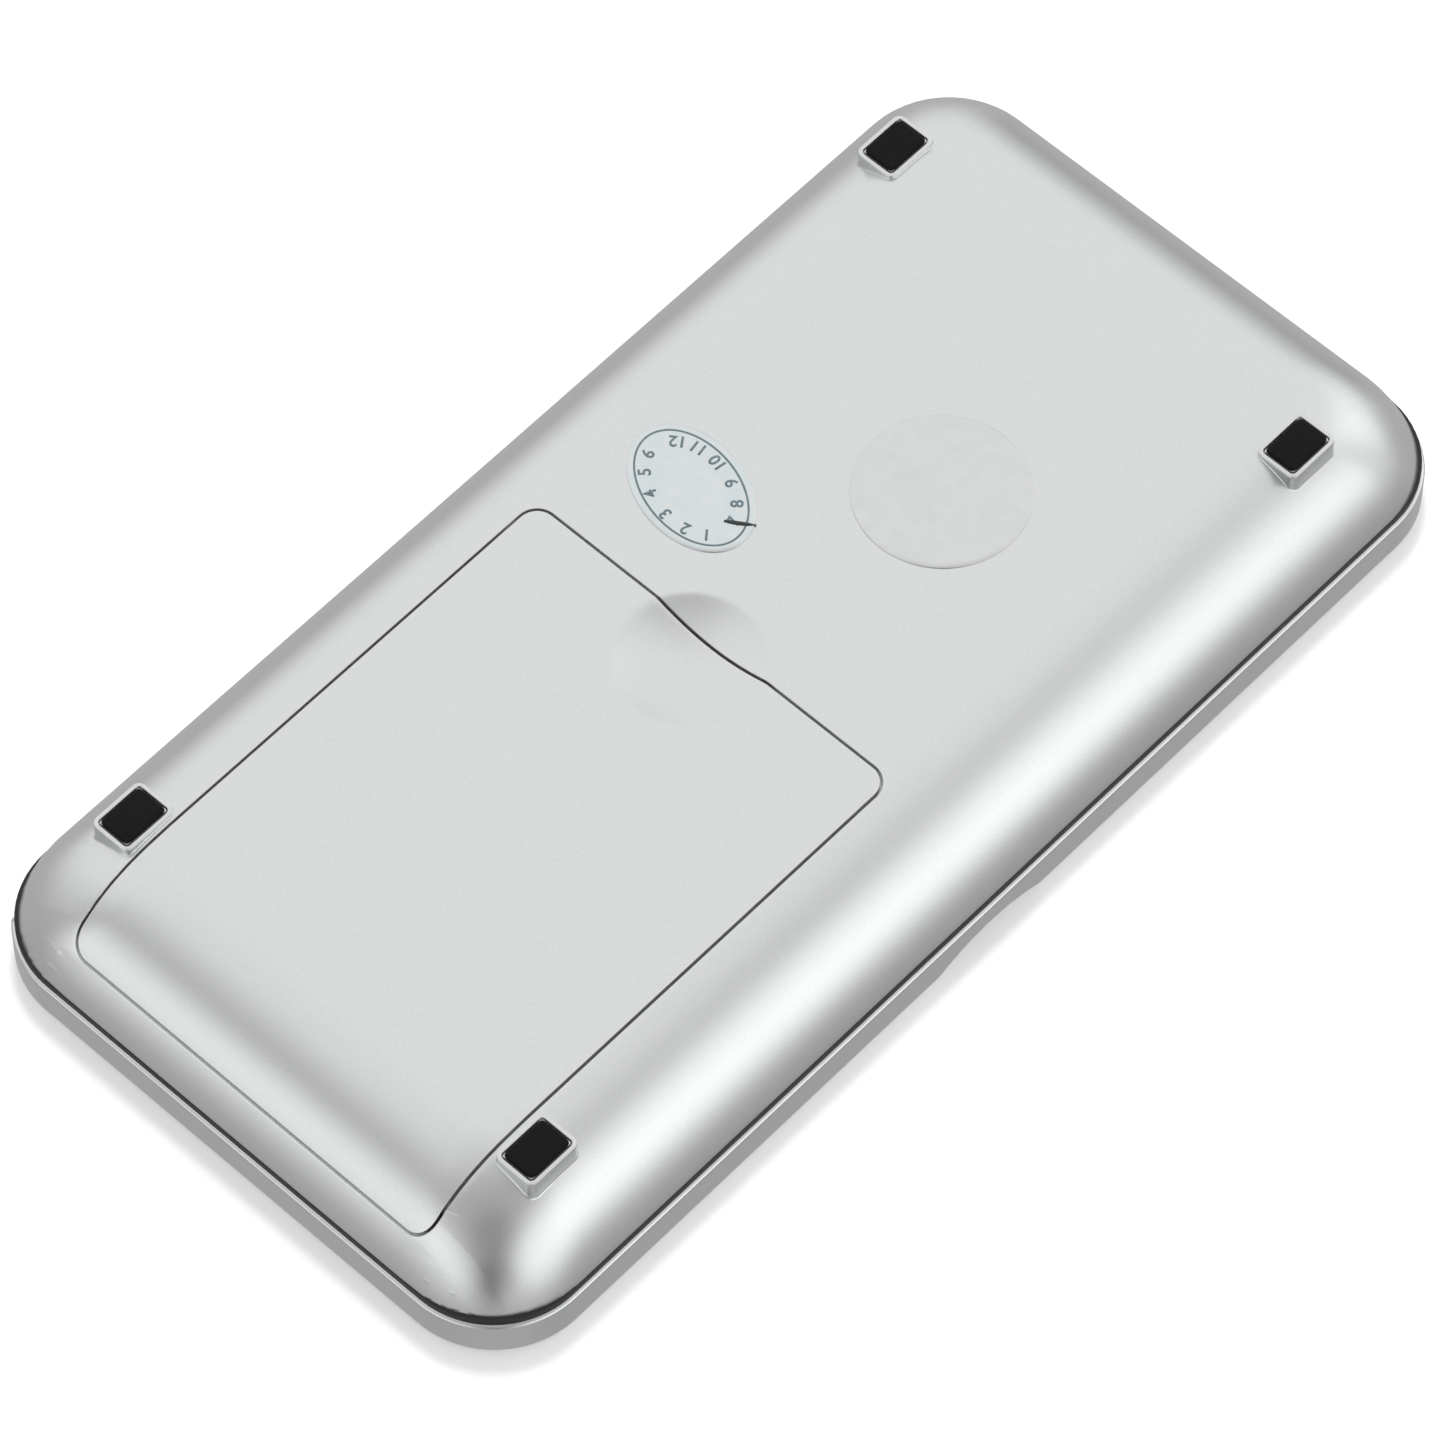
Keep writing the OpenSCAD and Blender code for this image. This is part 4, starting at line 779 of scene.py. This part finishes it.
# Print on the face plate: a pale line round the display window, and a standby ring beside the power key
printed = {"line": 0.25, "around": 1.1, "cornerR": 1.6, "ink": 0.02,
           "markR": 0.75, "markOff": 3.7, "markLine": 0.2,  # clear of the key's hole
           "barFrom": 0.15, "barTo": 1.1, "barHalf": 0.1, "barCornerR": 0.05, "barSoft": 0.005}
plateTop = boxMm("face_plate")[1][2]
windowLow, windowHigh = boxMm("display_window")
mid, half = (windowLow + windowHigh) / 2, (windowHigh - windowLow) / 2 + printed["around"]
inkHigh = plateTop + printed["ink"]
powerLow, powerHigh = boxMm("key_power")
markMid = (powerLow + powerHigh) / 2 + [0, printed["markOff"], 0]


def inkLine(width):  # a printed line's profile: up, across and down again
    return [(0.0, plateTop), (0.0, inkHigh), (width, inkHigh), (width, plateTop)]


makePiece("face_plate_print", [
    ringSweep(mid, half, printed["cornerR"], inkLine(printed["line"]), 10),
    ringSweep(markMid, np.full(3, printed["markR"]), printed["markR"], inkLine(printed["markLine"]), 12),
    softBlock((markMid[0] - printed["barHalf"], markMid[1] + printed["barFrom"], plateTop),
              (markMid[0] + printed["barHalf"], markMid[1] + printed["barTo"], inkHigh + printed["barSoft"]),
              printed["barCornerR"], printed["barSoft"])], "base", "paleInk")
print("keys and face plate done")


stage = {"half": 6.0, "paper": "#F2F2F2", "glow": 0.2}  # m, colour, and light of its own


# A pale floor seen from one side only, so that the case can be looked at from above and from below
def stagePlane(name, height, faceUp):
    mesh = bpy.data.meshes.new(name)
    s = stage["half"]
    ring = [(-s, -s, height), (s, -s, height), (s, s, height), (-s, s, height)]
    mesh.from_pydata(ring if faceUp else ring[::-1], [], [(0, 1, 2, 3)])
    plane = bpy.data.objects.new(name, mesh)
    bpy.context.scene.collection.objects.link(plane)
    material, tree = emptyMaterial(name)
    behind = addNode(tree, "ShaderNodeNewGeometry").outputs["Backfacing"]
    paper = addNode(tree, "ShaderNodeBsdfDiffuse", values={"Color": linear(stage["paper"])}).outputs["BSDF"]
    glow = addNode(tree, "ShaderNodeEmission", values={"Strength": stage["glow"]}).outputs["Emission"]
    lit = addNode(tree, "ShaderNodeAddShader", links={0: paper, 1: glow}).outputs["Shader"]
    clear = addNode(tree, "ShaderNodeBsdfTransparent").outputs["BSDF"]
    pick = addNode(tree, "ShaderNodeMixShader", links={"Fac": behind, 1: lit, 2: clear}).outputs["Shader"]
    addNode(tree, "ShaderNodeOutputMaterial", links={"Surface": pick})
    mesh.materials.append(material)
    for ray in ("shadow", "diffuse", "glossy", "transmission"):
        setattr(plane, "visible_" + ray, False)


stagePlane("floor_above", lidHigh[2] * mm, False)
stagePlane("floor_below", 0.0, True)

# The room round the case as it lies on its lid: a mid-grey dome and patches, each added in full within its
# inner angle and gone beyond its outer one; those above the table fade below its horizon
studio = {
    "dome": 0.46, "darkest": 0.02, "white": 1.0,
    "horizon": (-0.18, 0.48),  # the fade starts and ends here; z points down, into the table
    "aboveTable": [  # towards, inner and outer degrees, brightness added
        ((-0.50, 0.60, -0.63), 42, 80, 0.49),  # broad diffuser over the far side, which the flat mirrors
        ((-0.10, -0.95, -0.30), 20, 37, 0.37),  # long box along the front, with a crisp upper edge
        ((-0.68, -0.68, -0.28), 18, 40, 0.44),  # the far end of that box
        ((-0.93, -0.22, -0.28), 6, 24, 0.26),  # a small box beyond the far front corner
        ((0.10, -1.0, -0.05), 16, 44, 0.53),  # the long box's brightest part, low down
        ((0.99, 0.10, 0.0), 16, 44, 0.76),  # box beyond the battery end
    ],
    "anywhere": [
        ((0.56, -0.53, -0.64), 4, 22, -0.24),  # dark gap between the front's and the battery end's box, high
        ((0.70, -0.70, -0.16), 4, 20, -0.50),  # the same gap, low
        ((-0.30, -0.80, 0.50), 12, 42, -0.11),  # dark card low along the front
        ((0.80, 0.30, 0.52), 10, 44, -0.06),  # dark card beyond the battery end
        ((-0.95, 0.33, 0.0), 4, 22, -0.34),  # dark card beyond the far end
        ((-0.39, 0.92, 0.10), 4, 20, -0.16),  # dark card along the rear
        ((0.04, -0.04, -1.0), 4, 26, -0.15),  # dark card straight over the case
    ],
}
lamps = {  # place and size in metres, power in watts
    "lamp_over": {"place": (-0.3, 0.55, 0.95), "size": 0.6, "power": 5},
    "lamp_under": {"place": (-0.28, 0.28, -0.92), "size": 0.22, "power": 4},
}


def softBox(name, look):  # a square area lamp turned towards the origin, which nothing mirrors
    lampData = bpy.data.lights.new(name, "AREA")
    lampData.shape = "RECTANGLE"
    lampData.size = lampData.size_y = look["size"]
    lampData.energy = look["power"]
    lamp = bpy.data.objects.new(name, lampData)
    lamp.location = look["place"]
    lamp.visible_glossy = False
    lamp.rotation_euler = (-Vector(look["place"])).to_track_quat("-Z", "Y").to_euler()
    bpy.context.scene.collection.objects.link(lamp)


for name, look in lamps.items():
    softBox(name, look)

world = bpy.data.worlds.new("studio")
bpy.context.scene.world = world
world.use_nodes = True
tree = world.node_tree
tree.nodes.clear()
toward = addNode(tree, "ShaderNodeTexCoord").outputs["Generated"]


# The level plus, for each patch, a smooth step of the cosine of the angle to its direction
def addPatches(level, patches):
    for direction, inner, outer, added in patches:
        cosine = addNode(tree, "ShaderNodeVectorMath", {"operation": "DOT_PRODUCT"}, {0: toward},
                         {1: tuple(Vector(direction).normalized())}).outputs["Value"]
        patch = addNode(tree, "ShaderNodeMapRange", {"interpolation_type": "SMOOTHSTEP"}, {"Value": cosine},
                        {"From Min": math.cos(math.radians(outer)), "From Max": math.cos(math.radians(inner)),
                         "To Min": 0.0, "To Max": added}).outputs["Result"]
        if level is not None:
            patch = addNode(tree, "ShaderNodeMath", {"operation": "ADD"}, {0: patch, 1: level}).outputs["Value"]
        level = patch
    return level


height = addNode(tree, "ShaderNodeSeparateXYZ", links={"Vector": toward}).outputs["Z"]
above = addNode(tree, "ShaderNodeMapRange", {"interpolation_type": "SMOOTHSTEP"}, {"Value": height},
                {"From Min": studio["horizon"][0], "From Max": studio["horizon"][1],
                 "To Min": 1.0, "To Max": 0.0}).outputs["Result"]
lit = addNode(tree, "ShaderNodeMath", {"operation": "MULTIPLY"},
              {0: addPatches(None, studio["aboveTable"]), 1: above}).outputs["Value"]
level = addNode(tree, "ShaderNodeMath", {"operation": "ADD"}, {0: lit}, {1: studio["dome"]}).outputs["Value"]
level = addNode(tree, "ShaderNodeMath", {"operation": "MAXIMUM"}, {0: addPatches(level, studio["anywhere"])},
                {1: studio["darkest"]}).outputs["Value"]
path = addNode(tree, "ShaderNodeLightPath")
plainWhite = (1, 1, 1, 1)
room = addNode(tree, "ShaderNodeBackground", links={"Strength": level},
               values={"Color": plainWhite}).outputs["Background"]
white = addNode(tree, "ShaderNodeBackground",
                values={"Color": plainWhite, "Strength": studio["white"]}).outputs["Background"]
plain = addNode(tree, "ShaderNodeMath", {"operation": "MAXIMUM"}, {
    0: path.outputs["Is Camera Ray"], 1: path.outputs["Is Transmission Ray"]}).outputs["Value"]
pick = addNode(tree, "ShaderNodeMixShader", links={"Fac": plain, 1: room, 2: white}).outputs["Shader"]
addNode(tree, "ShaderNodeOutputWorld", links={"Surface": pick})
print("floor and light done")
